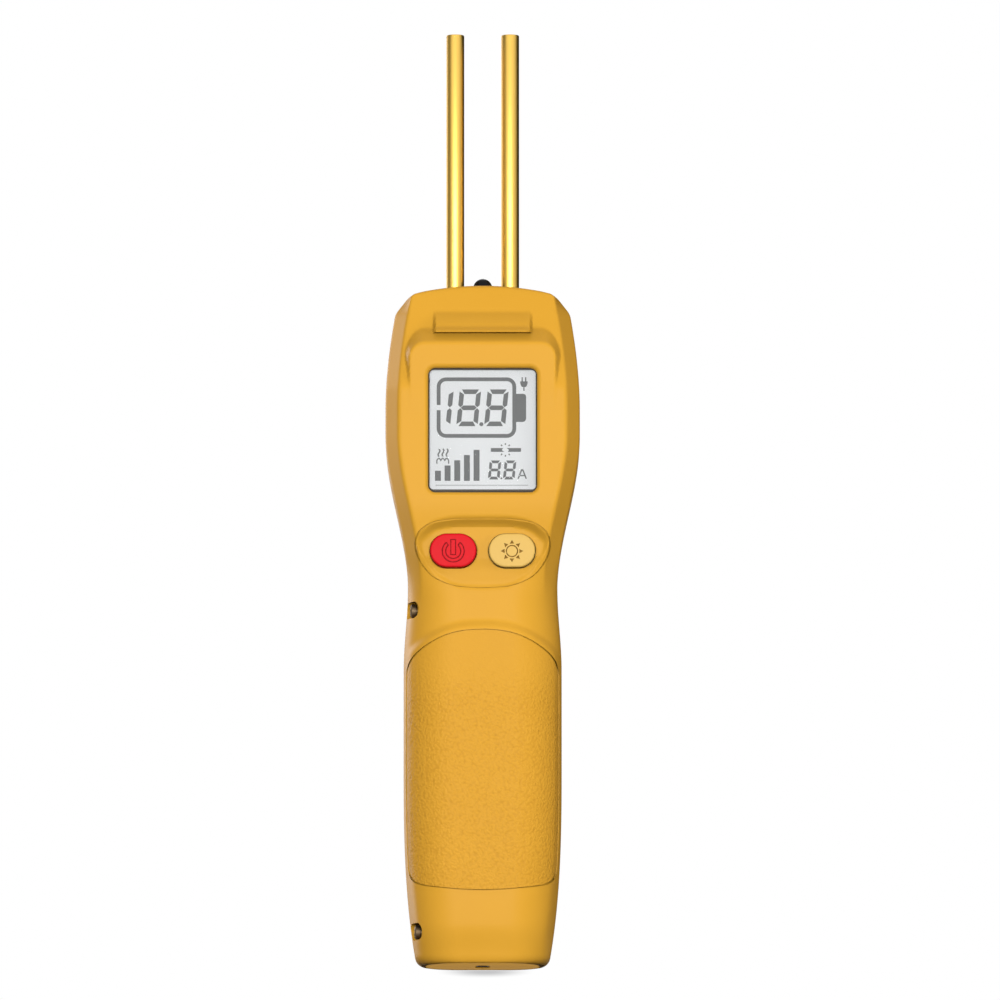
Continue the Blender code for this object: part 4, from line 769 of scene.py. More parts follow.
# %% Draw the display
case = round_path(-11.4, -1.35, 8.2, 13.4, 1.9)
stroke([(-11.4, 6.7), (-11.4, 11.5)] + case[20::-1] + case[:20:-1] + [(-11.4, 5.35)], 0.98)
plate([(8.66, 2.29), (10.5, 2.29), (11.05, 2.55), (11.26, 3.1),
       (11.26, 8.9), (11.05, 9.45), (10.5, 9.61), (8.66, 9.61)])
digit("1", -11.75, -7.45, 1.19, 10.76, 1.2)
digit("8", -6.85, -0.35, 1.19, 10.76, 1.2)
digit("8", 0.38, 6.78, 1.19, 10.76, 1.2)
disc(-0.33, 1.7, 0.52)
digit("8", 1.35, 4.85, -12.69, -7.75, 0.72)
digit("8", 5.25, 8.75, -12.69, -7.75, 0.72)
disc(4.86, -12.4, 0.24)
stroke([(9.2, -12.5), (10.1, -10.2), (10.4, -10.2), (11.3, -12.5)], 0.36)
stroke([(9.6, -11.7), (10.9, -11.7)], 0.32)
stroke([(-12.19, -14.19), (11.78, -14.19)], 0.12)
plate([(9.72, 12.85), (11.68, 12.85), (11.6, 12.1), (11.25, 11.4), (10.15, 11.4), (9.8, 12.1)])
stroke([(10.7, 11.5), (10.7, 10.4)], 0.3)
stroke([(10.25, 12.8), (10.25, 13.95)], 0.34)
stroke([(11.15, 12.8), (11.15, 13.95)], 0.34)
for rise in range(3):
    x = -11.3 + 1.05 * rise
    stroke([(x - 0.24 * math.sin(turn * 0.8), -6.76 + 2.05 * turn / 8) for turn in range(9)], 0.36)
coil = [(-11.85 + 3.05 * place / 24, -7.75 + 0.55 * abs(math.sin(math.pi * 3 * place / 24)))
        for place in range(25)]
stroke([(-11.85, -8.6)] + coil + [(-8.8, -8.6)], 0.3)
plate([(2.13, -5.5), (5.6, -5.5), (4.95, -5.0), (5.35, -4.52), (2.13, -4.52)])
plate([(6.5, -5.5), (9.95, -5.5), (9.95, -4.52), (6.2, -4.52), (6.85, -5.0)])
for angle in (50, 90, 130, 230, 270, 310):
    way = Vector((math.cos(math.radians(angle)), math.sin(math.radians(angle))))
    start, end = Vector((5.9, -5.0)) + way * 1.3, Vector((5.9, -5.0)) + way * 1.75
    stroke([start, end], 0.34)
print("marks drawn:", len(marks.faces), "faces")

# %% [markdown]
# ## Level bars
# Five bars, each a step taller than the last. Their rule is one line of arithmetic, so a small Geometry
# Nodes tree makes them: points in a row, a box on each, and the box's height taken from its index.

# %% A tree that makes bars in a row
def add(tree, kind, sockets=(), **settings):
    """A new node, with its settings and its unlinked sockets by name or place."""
    made = tree.nodes.new(kind)
    for label, value in settings.items():
        setattr(made, label, value)
    for socket, value in dict(sockets).items():
        made.inputs[socket].default_value = value
    return made


def wire(tree, *rows):
    """Links, each written as source, its output, target, its input."""
    for source, leaving, target, entering in rows:
        tree.links.new(source.outputs[leaving], target.inputs[entering])


def node_tree(name, inputs):
    """Geometry tree with named number inputs; returns the tree and its input node."""
    tree = bpy.data.node_groups.new(name, "GeometryNodeTree")
    for label, kind, value in inputs:
        socket = tree.interface.new_socket(label, in_out="INPUT", socket_type=kind)
        socket.default_value = value
    tree.interface.new_socket("Material", in_out="INPUT", socket_type="NodeSocketMaterial")
    tree.interface.new_socket("Geometry", in_out="OUTPUT", socket_type="NodeSocketGeometry")
    return tree, add(tree, "NodeGroupInput")


def finish_tree(tree, entry, shape):
    """Make the instances real, paint them and send them out."""
    real, paint = add(tree, "GeometryNodeRealizeInstances"), add(tree, "GeometryNodeSetMaterial")
    leave = add(tree, "NodeGroupOutput")
    wire(tree, (shape, 0, real, 0), (real, 0, paint, "Geometry"),
         (entry, "Material", paint, "Material"), (paint, 0, leave, 0))


def grown(name, tree, values):
    """Run the tree once and keep its result as a plain mesh."""
    holder = placed(name + "_holder", bpy.data.meshes.new(name + "_holder"))
    step = holder.modifiers.new("grow", "NODES")
    step.node_group = tree
    for item in tree.interface.items_tree:
        if item.in_out == "INPUT" and item.name in values:
            step[item.identifier] = values[item.name]
    graph = bpy.context.evaluated_depsgraph_get()
    graph.update()
    mesh = bpy.data.meshes.new_from_object(holder.evaluated_get(graph))
    bpy.data.objects.remove(holder, do_unlink=True)
    return mesh


bars_tree, bars_in = node_tree("level_bars", [
    ("Count", "NodeSocketInt", 5), ("Pitch", "NodeSocketFloat", 0.0025), ("Width", "NodeSocketFloat", 0.0015),
    ("First Height", "NodeSocketFloat", 0.0026), ("Step", "NodeSocketFloat", 0.0014),
    ("Thickness", "NodeSocketFloat", 0.00005)])
row, index = add(bars_tree, "GeometryNodeMeshLine"), add(bars_tree, "GeometryNodeInputIndex")
pitch, lift, size = [add(bars_tree, "ShaderNodeCombineXYZ") for _ in range(3)]
rise, tall = [add(bars_tree, "ShaderNodeMath", operation=kind) for kind in ("MULTIPLY", "ADD")]
half_tall = add(bars_tree, "ShaderNodeMath", {1: 0.5}, operation="MULTIPLY")
cube = add(bars_tree, "GeometryNodeMeshCube", {"Size": (1, 1, 1)})
moved, place = add(bars_tree, "GeometryNodeSetPosition"), add(bars_tree, "GeometryNodeInstanceOnPoints")
wire(bars_tree, (bars_in, "Count", row, "Count"), (bars_in, "Pitch", pitch, 0), (pitch, 0, row, "Offset"),
     (index, 0, rise, 0), (bars_in, "Step", rise, 1), (bars_in, "First Height", tall, 0), (rise, 0, tall, 1),
     (tall, 0, half_tall, 0), (half_tall, 0, lift, 2), (row, 0, moved, "Geometry"),
     (lift, 0, moved, "Offset"), (bars_in, "Width", size, 0), (bars_in, "Thickness", size, 1),
     (tall, 0, size, 2),
     (moved, 0, place, "Points"), (cube, 0, place, "Instance"), (size, 0, place, "Scale"))
finish_tree(bars_tree, bars_in, place)
bars_mesh = grown("level_bars", bars_tree, {
    "Pitch": 2.5 * MM, "Width": 1.54 * MM, "First Height": 2.64 * MM, "Step": 1.36 * MM,
    "Thickness": MARK_THICK})
bars_place = (-11.57 * MM, MARK_Y - MARK_THICK / 2 + 0.01 * MM, MARK_Z - 13.06 * MM)
bars_mesh.transform(Matrix.Translation(bars_place))
marks.from_mesh(bars_mesh)
display_marks = new_object("display_marks", marks)
print("display marks:", len(display_marks.data.polygons), "faces")

# %% [markdown]
# ## Push buttons
# Each button is a moulded cap with a flange behind the casing wall, so it can't fall out. The rim of its
# face is rounded, and its symbol is sunk into the face: a power mark on one, and a sun on the other.

# %% Caps
def cap(name, node):
    """A cap with its flange; returns it, its middle in x and the y of its face."""
    low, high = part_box(node)
    middle_x = (low.x + high.x) / 2
    rings = []

    def ring(grow, y):
        rings.append([(x, y, z) for x, z in button_outline(grow, middle_x)])

    ring(FLANGE - 0.1 * MM, high.y)
    ring(FLANGE, high.y - 0.1 * MM)
    ring(FLANGE, high.y - 0.65 * MM)
    ring(FLANGE - 0.1 * MM, high.y - 0.75 * MM)
    ring(0.0, high.y - 0.75 * MM)
    edge = 0.5 * MM
    for turn in range(0, 91, 15):
        ring(-edge * (1 - math.cos(math.radians(turn))), low.y + edge * (1 - math.sin(math.radians(turn))))
    return stack(name, rings, 40), middle_x, low.y


SYMBOL_DEEP = 0.6 * MM
LINE = 0.30 * MM


def arc_band(name, centre_x, radius, width, start, end, low_y, high_y):
    """Part of a ring, between two angles in degrees."""
    angles = [math.radians(start + (end - start) * step / 36) for step in range(37)]
    outer, inner = radius + width / 2, radius - width / 2
    outline = [(centre_x + outer * math.cos(a), BUTTON_Z + outer * math.sin(a)) for a in angles]
    outline += [(centre_x + inner * math.cos(a), BUTTON_Z + inner * math.sin(a)) for a in reversed(angles)]
    return slab(name, outline, low_y, high_y)


power_cap, power_x, cap_y = cap("power_cap", "power_button")
mark_low, mark_high = cap_y - MM, cap_y + SYMBOL_DEEP
for radius in (2.85 * MM, 1.95 * MM):
    carve(power_cap, arc_band("mark", power_x, radius, LINE, 128, 412, mark_low, mark_high))
for angle in (129, 411):
    way = Vector((math.cos(math.radians(angle)), 0, math.sin(math.radians(angle))))
    across = Vector((-way.z, 0, way.x)) * LINE / 2
    ends = [way * (reach * MM) + across * side for reach, side in ((1.9, -1), (2.9, -1), (2.9, 1), (1.9, 1))]
    outline = [(power_x + end.x, BUTTON_Z + end.z) for end in ends]
    carve(power_cap, slab("mark", outline, mark_low, mark_high))
BAR_HALF, BAR_LOW, BAR_HIGH, BAR_EDGE = 0.62, -0.95, 3.0, 0.12


def bar_block(name, grow, low_y, high_y):
    """The upright bar of the power mark, its outline moved out by a margin in millimetres."""
    return box_solid(name, (power_x - (BAR_HALF + grow) * MM, low_y, BUTTON_Z + (BAR_LOW - grow) * MM),
                     (power_x + (BAR_HALF + grow) * MM, high_y, BUTTON_Z + (BAR_HIGH + grow) * MM))


bar = bar_block("mark", BAR_EDGE, mark_low, mark_high)
carve(bar, bar_block("core", -BAR_EDGE, cap_y - 2 * MM, cap_y + 2 * MM))
carve(power_cap, bar)
print("power cap:", len(power_cap.data.polygons), "faces")

# %% Sun symbol, its rays from a tree
rays_tree, rays_in = node_tree("sun_rays", [
    ("Count", "NodeSocketInt", 8), ("Radius", "NodeSocketFloat", 0.002), ("Size", "NodeSocketFloat", 0.0005),
    ("Depth", "NodeSocketFloat", 0.001)])
circle, spot = add(rays_tree, "GeometryNodeMeshCircle"), add(rays_tree, "GeometryNodeInputPosition")
wedge = add(rays_tree, "GeometryNodeMeshCylinder", {"Vertices": 3})
aim = add(rays_tree, "FunctionNodeAlignRotationToVector", axis="X")
spread = add(rays_tree, "GeometryNodeInstanceOnPoints")
wire(rays_tree, (rays_in, "Count", circle, "Vertices"), (rays_in, "Radius", circle, "Radius"),
     (rays_in, "Size", wedge, "Radius"), (rays_in, "Depth", wedge, "Depth"), (spot, 0, aim, "Vector"),
     (circle, 0, spread, "Points"), (wedge, 0, spread, "Instance"), (aim, 0, spread, "Rotation"))
finish_tree(rays_tree, rays_in, spread)
rays_mesh = grown("sun_rays", rays_tree, {
    "Count": 8, "Radius": 2.25 * MM, "Size": 0.66 * MM, "Depth": 2 * (MM + SYMBOL_DEEP)})
heat_cap, heat_x, cap_y = cap("heat_cap", "heat_button")
rays_mesh.transform(Matrix.Translation((heat_x, cap_y - MM, BUTTON_Z)) @ Matrix.Rotation(math.pi / 2, 4, "X"))
carve(heat_cap, placed("rays", rays_mesh))
carve(heat_cap, arc_band("mark", heat_x, 1.45 * MM, LINE, 0, 359.9, cap_y - MM, cap_y + SYMBOL_DEEP))
print("heat cap:", len(heat_cap.data.polygons), "faces")

# %% [markdown]
# ## Electrodes, lamp, port and side screws
# The electrodes are brass rods turned on a lathe, so each is a turned profile: a small chamfer at the tip
# and a hole down the middle for the staple's leg. The lamp is a moulded dome, also a turned profile. The
# charging port is a drawn metal sleeve.

# %% Turned and drawn metal pieces
def rod(name, node):
    """A turned electrode with a small hole in its tip."""
    low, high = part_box(node)
    centre, radius, length = (low + high) / 2, (high.x - low.x) / 2, high.z - low.z
    edge, hole = 0.35 * MM, 0.7 * MM
    profile = [(0, 0), (radius - edge, 0), (radius, edge), (radius, length * 0.5), (radius, length - edge),
               (radius - 0.3 * edge, length - 0.3 * edge), (radius - edge, length),
               (hole + 0.15 * MM, length),
               (hole, length - 0.15 * MM), (hole, length - 8 * MM), (0, length - 8.4 * MM)]
    return spun(name, profile, (centre.x, SEAM_Y, low.z), (0, 0, 1), 64)


rod_left, rod_right = rod("rod_left", "electrode_left"), rod("rod_right", "electrode_right")
lamp_low, lamp_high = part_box("lamp")
lamp_radius, lamp_height = 2.5 * MM, lamp_high.z - lamp_low.z
flange_radius = (lamp_high.x - lamp_low.x) / 2
dome = [(lamp_radius * math.cos(turn), lamp_height - lamp_radius + lamp_radius * math.sin(turn))
        for turn in (math.radians(angle) for angle in range(0, 90, 9))]
lamp_profile = [(0, 0), (flange_radius, 0), (flange_radius, 0.9 * MM), (lamp_radius, 0.95 * MM)]
lamp_profile += dome + [(0, lamp_height)]
lamp_lens = spun("lamp_lens", lamp_profile, (0, SEAM_Y, lamp_low.z), (0, 0, 1), 48)
port_low, port_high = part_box("charge_port")
SLEEVE = 0.35 * MM
half_x, half_y = (port_high.x - port_low.x) / 2, (port_high.y - port_low.y) / 2
port_shell = port_form("port_shell", half_x, half_y, port_low.z, port_high.z)
carve(port_shell, port_form("hole", half_x - SLEEVE, half_y - SLEEVE, port_low.z - MM, port_high.z - SLEEVE))


def screw_head(name, node):
    """Pan head with a cross recess, set in from the side."""
    low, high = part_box(node)
    middle, radius, length = (low + high) / 2, (high.z - low.z) / 2, high.x - low.x
    profile = [(0, 0), (1.2 * MM, 0), (1.2 * MM, length - 1.5 * MM), (radius, length - 1.5 * MM),
               (radius, length - 0.45 * MM), (radius - 0.35 * MM, length - 0.12 * MM),
               (0.5 * radius, length), (0, length)]
    head = spun(name, profile, (high.x, middle.y, middle.z), (-1, 0, 0), 40)
    for long_y, long_z in ((1.2, 0.28), (0.28, 1.2)):
        carve(head, box_solid("slot", (low.x - MM, middle.y - long_y * MM, middle.z - long_z * MM),
                              (low.x + 0.8 * MM, middle.y + long_y * MM, middle.z + long_z * MM)))
    return head


screw_head_lower = screw_head("screw_head_lower", "side_screw_lower")
screw_head_upper = screw_head("screw_head_upper", "side_screw_upper")
rod_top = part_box("electrode_left")[1].z
print("rod", round((rod_top - TOP_Z) / MM, 1), "mm above the casing; screws and port made")

# %% [markdown]
# ## Finishes
# Each finish is a small node set: a colour with a slow variation, a roughness that changes with the same
# wear, and a bump for the surface's own texture. One helper makes the common plastic, because moulded
# plastics differ only in those numbers.

# %% Common finish
def finish(name, dark, light, rough, patch, grain, depth, metallic=0.0, stretch=(1, 1, 1)):
    """Colour between two tones over patches, roughness between two values, and a grain with a depth.

    The patch, the grain and its depth are in millimetres.
    """
    surface = bpy.data.materials.new(name)
    surface.use_nodes = True
    tree = surface.node_tree
    body = tree.nodes["Principled BSDF"]
    where, scale = add(tree, "ShaderNodeTexCoord"), add(tree, "ShaderNodeMapping", {"Scale": stretch})
    slow = add(tree, "ShaderNodeTexNoise", {"Scale": 1 / (patch * MM), "Detail": 3})
    fine = add(tree, "ShaderNodeTexNoise", {"Scale": 1 / (grain * MM), "Detail": 2})
    tone = add(tree, "ShaderNodeMix", {6: (*dark, 1), 7: (*light, 1)}, data_type="RGBA")
    wear = add(tree, "ShaderNodeMapRange", {"To Min": rough[0], "To Max": rough[1]})
    bump = add(tree, "ShaderNodeBump", {"Distance": depth * MM, "Strength": 1.0})
    wire(tree, (where, "Object", scale, "Vector"), (scale, 0, slow, "Vector"), (slow, 0, tone, 0),
         (tone, 2, body, "Base Color"), (scale, 0, fine, "Vector"), (slow, 0, wear, "Value"),
         (wear, 0, body, "Roughness"), (fine, 0, bump, "Height"), (bump, 0, body, "Normal"))
    body.inputs["Metallic"].default_value = metallic
    if not metallic:
        body.inputs["Specular IOR Level"].default_value = 0.10
    return surface


surfaces = {
    "casing_plastic": ((0.82, 0.405, 0.034), (0.89, 0.455, 0.045), (0.38, 0.50), 18, 0.45, 0.012),
    "button_red": ((0.80, 0.008, 0.016), (0.88, 0.011, 0.021), (0.42, 0.52), 6, 0.4, 0.01),
    "button_pale": ((0.86, 0.54, 0.13), (0.90, 0.58, 0.15), (0.34, 0.46), 6, 0.4, 0.01),
    "grip_soft": ((0.80, 0.395, 0.034), (0.87, 0.44, 0.044), (0.46, 0.60), 14, 0.5, 0.03),
}
surfaces = {name: finish(name, *numbers) for name, numbers in surfaces.items()}
print("casing, button and plain grip finishes made")

# %% [markdown]
# ## Grained grip
# The soft grip has a leather-like grain from spark erosion in the mould: rounded cells with fine valleys
# between them. A Voronoi pattern gives the cells and a noise breaks them up. The valleys are also darkened
# in the colour, which is painted shade. The grain and its painted shade fade near the top, where the real
# inlay is nearly smooth.

# %% Grip finish
WARP_SIZE, WARP_REACH, CELL_SIZE = 1.6 * MM, 0.0006, 0.62 * MM
FADE_LOW_Z, FADE_HIGH_Z = 66 * MM, 84 * MM
tree = surfaces["grip_soft"].node_tree
body, grain = tree.nodes["Principled BSDF"], tree.nodes["Bump"]
plain = body.inputs["Base Color"].links[0].from_node
where = add(tree, "ShaderNodeTexCoord")
warp = add(tree, "ShaderNodeTexNoise", {"Scale": 1 / WARP_SIZE})
added = add(tree, "ShaderNodeVectorMath", {1: (WARP_REACH, WARP_REACH, WARP_REACH)}, operation="MULTIPLY_ADD")
cells = add(tree, "ShaderNodeTexVoronoi", {"Scale": 1 / CELL_SIZE}, feature="SMOOTH_F1")
split, strong = add(tree, "ShaderNodeSeparateXYZ"), add(tree, "ShaderNodeMath", operation="MULTIPLY")
fade = add(tree, "ShaderNodeMapRange", interpolation_type="SMOOTHSTEP",
           sockets={"From Min": FADE_LOW_Z, "From Max": FADE_HIGH_Z, "To Min": 1.0, "To Max": 0.25})
coarse = add(tree, "ShaderNodeBump", {"Distance": 0.22 * MM}, invert=True)
# Darkening of the valleys between the cells, mixed into the base colour below: painted shade.
painted_shade = add(tree, "ShaderNodeMapRange", {"From Min": 0.35, "From Max": 0.85, "To Max": 0.45})
shade = add(tree, "ShaderNodeMix", {7: (0.60, 0.26, 0.022, 1)}, data_type="RGBA")
wire(tree, (where, "Object", warp, "Vector"), (warp, "Color", added, 0), (where, "Object", added, 2),
     (added, 0, cells, "Vector"), (where, "Object", split, 0), (split, 2, fade, "Value"),
     (cells, "Distance", strong, 0), (fade, 0, strong, 1), (strong, 0, painted_shade, "Value"), (painted_shade, 0, shade, 0),
     (plain, 2, shade, 6), (shade, 2, body, "Base Color"), (strong, 0, coarse, "Height"),
     (grain, 0, coarse, "Normal"), (coarse, 0, body, "Normal"))
print("grip grain cells of about", CELL_SIZE / MM, "mm")

# %% [markdown]
# ## Metals, glass and the pieces inside
# Metal shows streaks along the way it was turned or drawn, so its noise is stretched. The clear pane is a
# shader with low alpha: it lets the display show and still reflects. The pieces inside the casing keep
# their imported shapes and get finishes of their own.

# %% Remaining finishes
TURNED, DRAWN = (1, 1, 0.05), (1, 1, 0.1)
others = {
    # Darker copies of the button colours for the faces inside the sunk symbols: painted shade in the grooves.
    "symbol_shade_red": ((0.44, 0.006, 0.010), (0.50, 0.008, 0.012), (0.5, 0.6), 3, 0.3, 0.005),
    "symbol_shade_brown": ((0.34, 0.17, 0.025), (0.40, 0.20, 0.03), (0.5, 0.6), 3, 0.3, 0.005),
    "electrode_brass": ((0.86, 0.54, 0.10), (0.92, 0.60, 0.14), (0.32, 0.38), 4, 0.25, 0.0006, 1.0, TURNED),
    "nickel_strip": ((0.50, 0.50, 0.49), (0.66, 0.65, 0.63), (0.22, 0.38), 2, 0.2, 0.003, 1.0, DRAWN),
    # The screw heads are brown-grey rather than steel grey: painted shade, standing in for the shaded hollow
    # of the side slots.
    "screw_steel": ((0.15, 0.105, 0.06), (0.20, 0.14, 0.08), (0.5, 0.65), 1, 0.15, 0.004, 1.0),
    "tinned_wire": ((0.60, 0.60, 0.62), (0.72, 0.72, 0.73), (0.25, 0.4), 1, 0.1, 0.003, 1.0, DRAWN),
    "lamp_black": ((0.006, 0.006, 0.007), (0.010, 0.010, 0.011), (0.10, 0.18), 3, 0.6, 0.002),
    "gasket_brown": ((0.055, 0.045, 0.032), (0.08, 0.065, 0.048), (0.6, 0.8), 1, 0.2, 0.01),
    "black_foam": ((0.010, 0.010, 0.011), (0.022, 0.022, 0.024), (0.75, 0.95), 1, 0.2, 0.05),
    "lcd_glass": ((0.83, 0.85, 0.86), (0.86, 0.88, 0.89), (0.55, 0.65), 9, 0.3, 0.001),
    "segment_ink": ((0.135, 0.14, 0.14), (0.155, 0.16, 0.16), (0.6, 0.7), 4, 0.2, 0.001),
    "window_clear": ((0.92, 0.94, 0.95), (0.95, 0.96, 0.97), (0.03, 0.06), 12, 4, 0.001),
    # The charging port's sleeve is near black: painted shade, for the shade inside its slot.
    "port_steel_painted_shade": ((0.05, 0.05, 0.052), (0.09, 0.09, 0.092), (0.45, 0.6), 2, 0.2, 0.003, 1.0),
    "reflector_white": ((0.72, 0.72, 0.70), (0.80, 0.80, 0.78), (0.4, 0.5), 5, 0.4, 0.01),
    "flex_film": ((0.42, 0.16, 0.03), (0.55, 0.23, 0.05), (0.25, 0.4), 2, 0.2, 0.01),
    "connector_white": ((0.70, 0.69, 0.64), (0.78, 0.77, 0.72), (0.4, 0.55), 2, 0.3, 0.02),
    "chip_black": ((0.012, 0.012, 0.013), (0.022, 0.022, 0.024), (0.5, 0.7), 1.5, 0.12, 0.02),
    "board_green": ((0.010, 0.10, 0.035), (0.018, 0.15, 0.055), (0.3, 0.45), 3, 0.5, 0.02),
    "block_phenolic": ((0.09, 0.035, 0.015), (0.16, 0.065, 0.028), (0.45, 0.65), 1.2, 0.3, 0.03),
    "wire_black": ((0.012, 0.012, 0.013), (0.025, 0.025, 0.027), (0.35, 0.5), 3, 0.4, 0.01),
    "wire_red": ((0.50, 0.012, 0.012), (0.62, 0.020, 0.018), (0.35, 0.5), 3, 0.4, 0.01),
    "cell_wrap": ((0.015, 0.13, 0.28), (0.025, 0.18, 0.36), (0.22, 0.34), 8, 0.6, 0.01),
}
surfaces.update({name: finish(name, *numbers) for name, numbers in others.items()})
surfaces["window_clear"].node_tree.nodes["Principled BSDF"].inputs["Alpha"].default_value = 0.04
print(len(surfaces), "finishes")

# %% [markdown]
# ## Put the pieces on their bodies
# A visual piece rides on the imported body that it belongs to, and the imported node it stands for is hidden.
# The two caps ride on their own bodies, so they move when the buttons are pressed.

# %% Pieces, bodies and finishes
PIECES = [
    (front_casing, "casing", "front_shell", "casing_plastic"),
    (rear_casing, "casing", "rear_shell", "casing_plastic"),
    (grip_inlay, "casing", "grip_pad", "grip_soft"),
    (power_cap, "power_button", "power_button", "button_red"),
    (heat_cap, "heat_button", "heat_button", "button_pale"),
    (clear_window, "casing", "display_window", "window_clear"),
    (window_rim, "casing", "window_gasket", "gasket_brown"),
    (display_face, "casing", "lcd_panel", "lcd_glass"),
    (display_marks, "casing", None, "segment_ink"),
    (rod_left, "casing", "electrode_left", "electrode_brass"),
    (rod_right, "casing", "electrode_right", "electrode_brass"),
    (lamp_lens, "casing", "lamp", "lamp_black"),
    (port_shell, "casing", "charge_port", "port_steel_painted_shade"),
    (screw_head_lower, "casing", "side_screw_lower", "screw_steel"),
    (screw_head_upper, "casing", "side_screw_upper", "screw_steel"),
]
SYMBOL_HALF = 3.4 * MM
for piece, body, node, slot in PIECES:
    piece.data.materials.clear()
    piece.data.materials.append(surfaces[slot])
    piece.data.shade_smooth()
    piece.data.set_sharp_from_angle(angle=math.radians(35))
    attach(piece, body)
    if node:
        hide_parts(node)
# The faces inside each sunk symbol take the darker copy of the button's colour: painted shade in the grooves.
for piece, painted_shade in ((power_cap, "symbol_shade_red"), (heat_cap, "symbol_shade_brown")):
    piece.data.materials.append(surfaces[painted_shade])
    face_y = min(vertex.co.y for vertex in piece.data.vertices)
    centre = sum((vertex.co for vertex in piece.data.vertices), Vector()) / len(piece.data.vertices)
    for polygon in piece.data.polygons:
        across, up = abs(polygon.center.x - centre.x), abs(polygon.center.z - BUTTON_Z)
        near = across < SYMBOL_HALF and up < SYMBOL_HALF
        if near and face_y + 0.02 * MM < polygon.center.y < face_y + SYMBOL_DEEP + 0.05 * MM:
            polygon.material_index = 1
carried = set(frame["nodes"]) - {node for _, _, node, _ in PIECES}
slot_of = {entry["node"]: entry["material_slot"] for entry in frame["record"]["subparts"]}
for name in sorted(carried):
    mesh = frame["nodes"][name].data
    mesh.materials.clear()
    mesh.materials.append(surfaces[slot_of[name]])
print(len(PIECES), "new pieces,", len(carried), "nodes carried over")

# %% [markdown]
# ## Floor
# The tool stands on a plain pale floor. The camera is a little lower than the tool's foot, so it sees the
# floor from below. The floor is therefore clear from that side and pale from above, and only a soft grey
# patch behind the foot stays: a painted shadow, standing in for the shade under a standing object. It has an
# opening under the foot, so that the underside isn't black.

# %% Floor and surroundings
def bare_material(name):
    """A material with an empty node tree."""
    paint = bpy.data.materials.new(name)
    paint.use_nodes = True
    paint.node_tree.nodes.clear()
    return paint, paint.node_tree


FAR = 3.5
floor_mesh = bpy.data.meshes.new("floor")
foot = np.vstack([front_row(0.0, 2.4 * MM, 41), rear_row(0.0, 2.4 * MM, 41)[::-1]])
foot[:, 1] = np.where(foot[:, 1] > SEAM_Y, SEAM_Y + 0.88 * (foot[:, 1] - SEAM_Y), foot[:, 1])
far = [(FAR * x / math.hypot(x, y), FAR * y / math.hypot(x, y)) for x, y in foot]
count = len(foot)
ring_faces = [(place, (place + 1) % count, count + (place + 1) % count, count + place)
              for place in range(count)]
floor_mesh.from_pydata([(x, y, 0) for x, y in [*map(tuple, foot), *far]], [], ring_faces)
floor_mesh.update()
if floor_mesh.polygons[0].normal.z < 0:
    floor_mesh.flip_normals()
floor = placed("floor", floor_mesh)
floor.location.z = -0.0002
floor_paint, tree = bare_material("floor_paint")
leave, side = add(tree, "ShaderNodeOutputMaterial"), add(tree, "ShaderNodeNewGeometry")
top = add(tree, "ShaderNodeBsdfDiffuse", {"Color": (0.86, 0.86, 0.86, 1)})
clear = add(tree, "ShaderNodeBsdfTransparent")
where, reach = add(tree, "ShaderNodeTexCoord"), add(tree, "ShaderNodeVectorMath", operation="LENGTH")
spot = add(tree, "ShaderNodeMapping", {"Scale": (1 / 0.0135, 1 / 0.023, 1), "Location": (-0.05, -0.72, 0)})
shade = add(tree, "ShaderNodeMapRange", {"From Min": 0.1, "From Max": 1.0, "To Min": 0.62, "To Max": 0.0},
            interpolation_type="SMOOTHSTEP")
# The grey patch behind the foot, seen from below: a painted shadow.
painted_shadow = add(tree, "ShaderNodeEmission", {"Color": (0.30, 0.30, 0.31, 1)})
tint, choose = add(tree, "ShaderNodeMixShader"), add(tree, "ShaderNodeMixShader")
wire(tree, (where, "Object", spot, "Vector"), (spot, 0, reach, 0), (reach, "Value", shade, "Value"),
     (shade, 0, tint, 0), (clear, 0, tint, 1), (painted_shadow, 0, tint, 2), (side, "Backfacing", choose, 0),
     (top, 0, choose, 1), (tint, 0, choose, 2), (choose, 0, leave, 0))
floor_mesh.materials.append(floor_paint)

world = bpy.data.worlds.new("studio")
bpy.context.scene.world = world
world.use_nodes = True
tree = world.node_tree
tree.nodes.clear()
leave, path = add(tree, "ShaderNodeOutputWorld"), add(tree, "ShaderNodeLightPath")
room = add(tree, "ShaderNodeBackground", {"Color": (1, 0.985, 0.975, 1), "Strength": 0.26})
backdrop = add(tree, "ShaderNodeBackground", {"Color": (1, 1, 1, 1), "Strength": 1.0})
seen, any_seen = [add(tree, "ShaderNodeMath", operation="MAXIMUM") for _ in range(2)]
mix = add(tree, "ShaderNodeMixShader")
wire(tree, (path, "Is Camera Ray", seen, 0), (path, "Is Glossy Ray", seen, 1), (seen, 0, any_seen, 0),
     (path, "Is Transmission Ray", any_seen, 1), (any_seen, 0, mix, 0), (room, 0, mix, 1),
     (backdrop, 0, mix, 2), (mix, 0, leave, 0))
print("floor and surroundings ready")

# %% [markdown]
# ## Studio light
# One large soft panel stands in front, a little to the left. It lights the faces that look forward and
# leaves those that look up, down or right darker. A panel behind on the left draws a bright line down that
# side, a weak one on the right keeps the right side from going black, and another far below lights the
# underside. The cards are seen only in reflections: they give the polished rods their dark edge and keep
# the underside dark. The room's own light is even, and light bounced between the casing's faces is left
# out, because it would turn the shaded recesses orange.

# %% Lamps and cards
def panel(name, place, aim, width, height, power, colour=(1, 1, 1)):
    """A soft rectangular lamp that looks at a point."""
    light = bpy.data.lights.new(name, "AREA")
    light.shape, light.size, light.size_y = "RECTANGLE", width, height
    light.energy, light.color = power, colour
    lamp = placed(name, light)
    lamp.location = place
    lamp.rotation_mode = "QUATERNION"
    lamp.rotation_quaternion = (Vector(aim) - Vector(place)).to_track_quat("-Z", "Y")
    return lamp


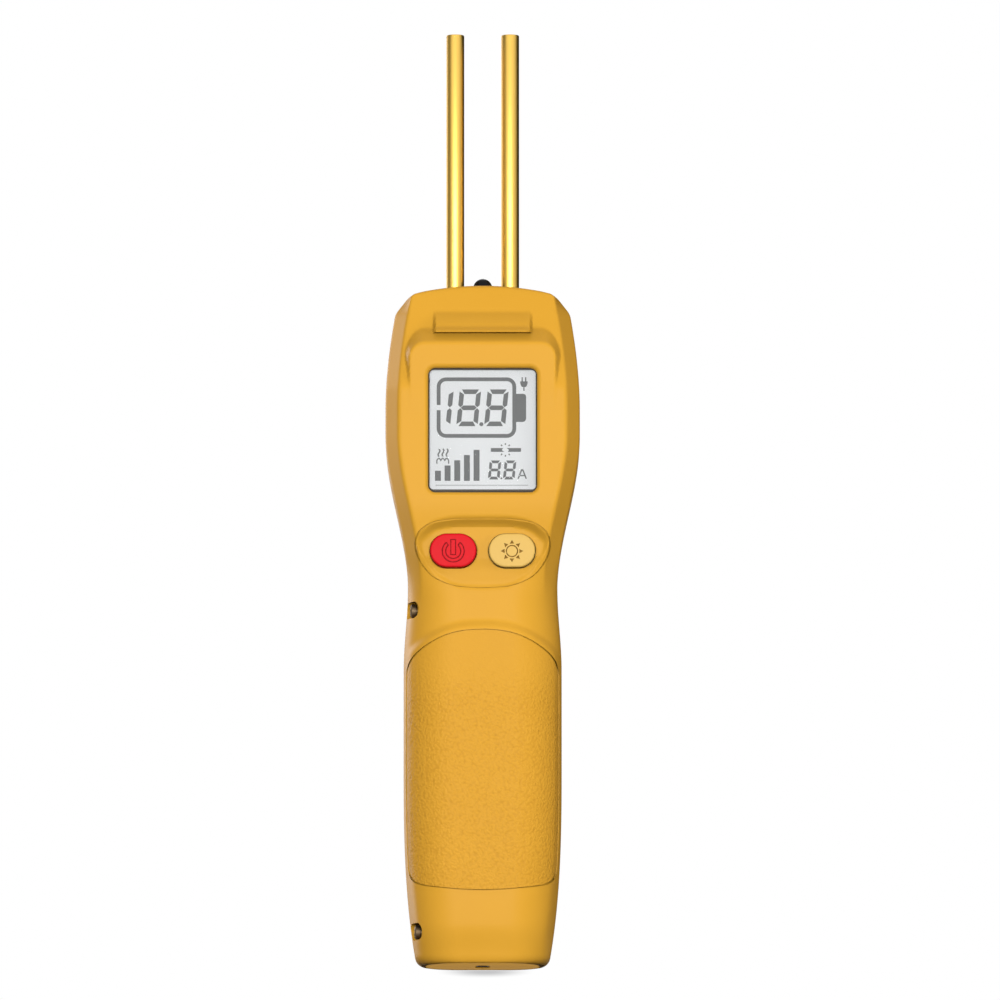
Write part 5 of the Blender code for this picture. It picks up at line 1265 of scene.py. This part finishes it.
MIDDLE = (0, 0, 0.12)
panel("front_panel", (-0.06, -1.6, 0.13), MIDDLE, 1.3, 0.3, 23.5)
panel("left_edge_panel", (-0.85, 1.05, 0.25), MIDDLE, 0.5, 0.9, 10.5, (1.0, 0.92, 0.89))
panel("right_fill", (1.3, -0.7, 0.13), MIDDLE, 0.5, 0.3, 3.2).visible_glossy = False
panel("low_panel", (0, -0.5, -0.7), (0, 0, 0), 0.6, 0.6, 1.8)


def card(name, corners, grey):
    """A card that only reflections see."""
    mesh = bpy.data.meshes.new(name)
    mesh.from_pydata(corners, [], [(0, 1, 2, 3)])
    placed(name, mesh)
    paint, tree = bare_material(name)
    leave, choose = add(tree, "ShaderNodeOutputMaterial"), add(tree, "ShaderNodeMixShader")
    dark = add(tree, "ShaderNodeEmission", {"Color": (grey, grey, grey, 1)})
    path, clear = add(tree, "ShaderNodeLightPath"), add(tree, "ShaderNodeBsdfTransparent")
    wire(tree, (path, "Is Glossy Ray", choose, 0), (clear, 0, choose, 1), (dark, 0, choose, 2),
         (choose, 0, leave, 0))
    mesh.materials.append(paint)


for name, (ax, ay), (bx, by), grey in (("black_card", (0.63, 0.05), (0.10, 0.62), 0.0),
                                       ("right_card", (0.60, -0.22), (0.63, 0.05), 0.55),
                                       ("left_card", (-0.60, -0.35), (-0.25, 0.60), 0.22)):
    card(name, [(ax, ay, -0.2), (bx, by, -0.2), (bx, by, 0.8), (ax, ay, 0.8)], grey)
card("low_card", [(-1, 0.8, -0.6), (1, 0.8, -0.6), (1, 0.8, -0.005), (-1, 0.8, -0.005)], 0.22)
bpy.context.scene.cycles.diffuse_bounces = 0
print("four panels and four cards")

# %% [markdown]
# ## Camera
# A long lens from far away flattens the view, as in a catalogue picture. The camera sits slightly below the
# tool's foot and looks up a little, so the underside shows as a thin dark band.

camera_data = bpy.data.cameras.new("camera")
camera = placed("camera", camera_data)
camera_data.sensor_width, camera_data.lens = 36, 554
camera_data.clip_end = 50
camera.location = (0.0045, -3.978, -0.2966)
camera.rotation_mode = "QUATERNION"
camera.rotation_quaternion = (Vector((0.0045, 0, 0.1215)) - camera.location).to_track_quat("-Z", "Y")
bpy.context.scene.camera = camera
bpy.context.scene.view_settings.view_transform = "Standard"
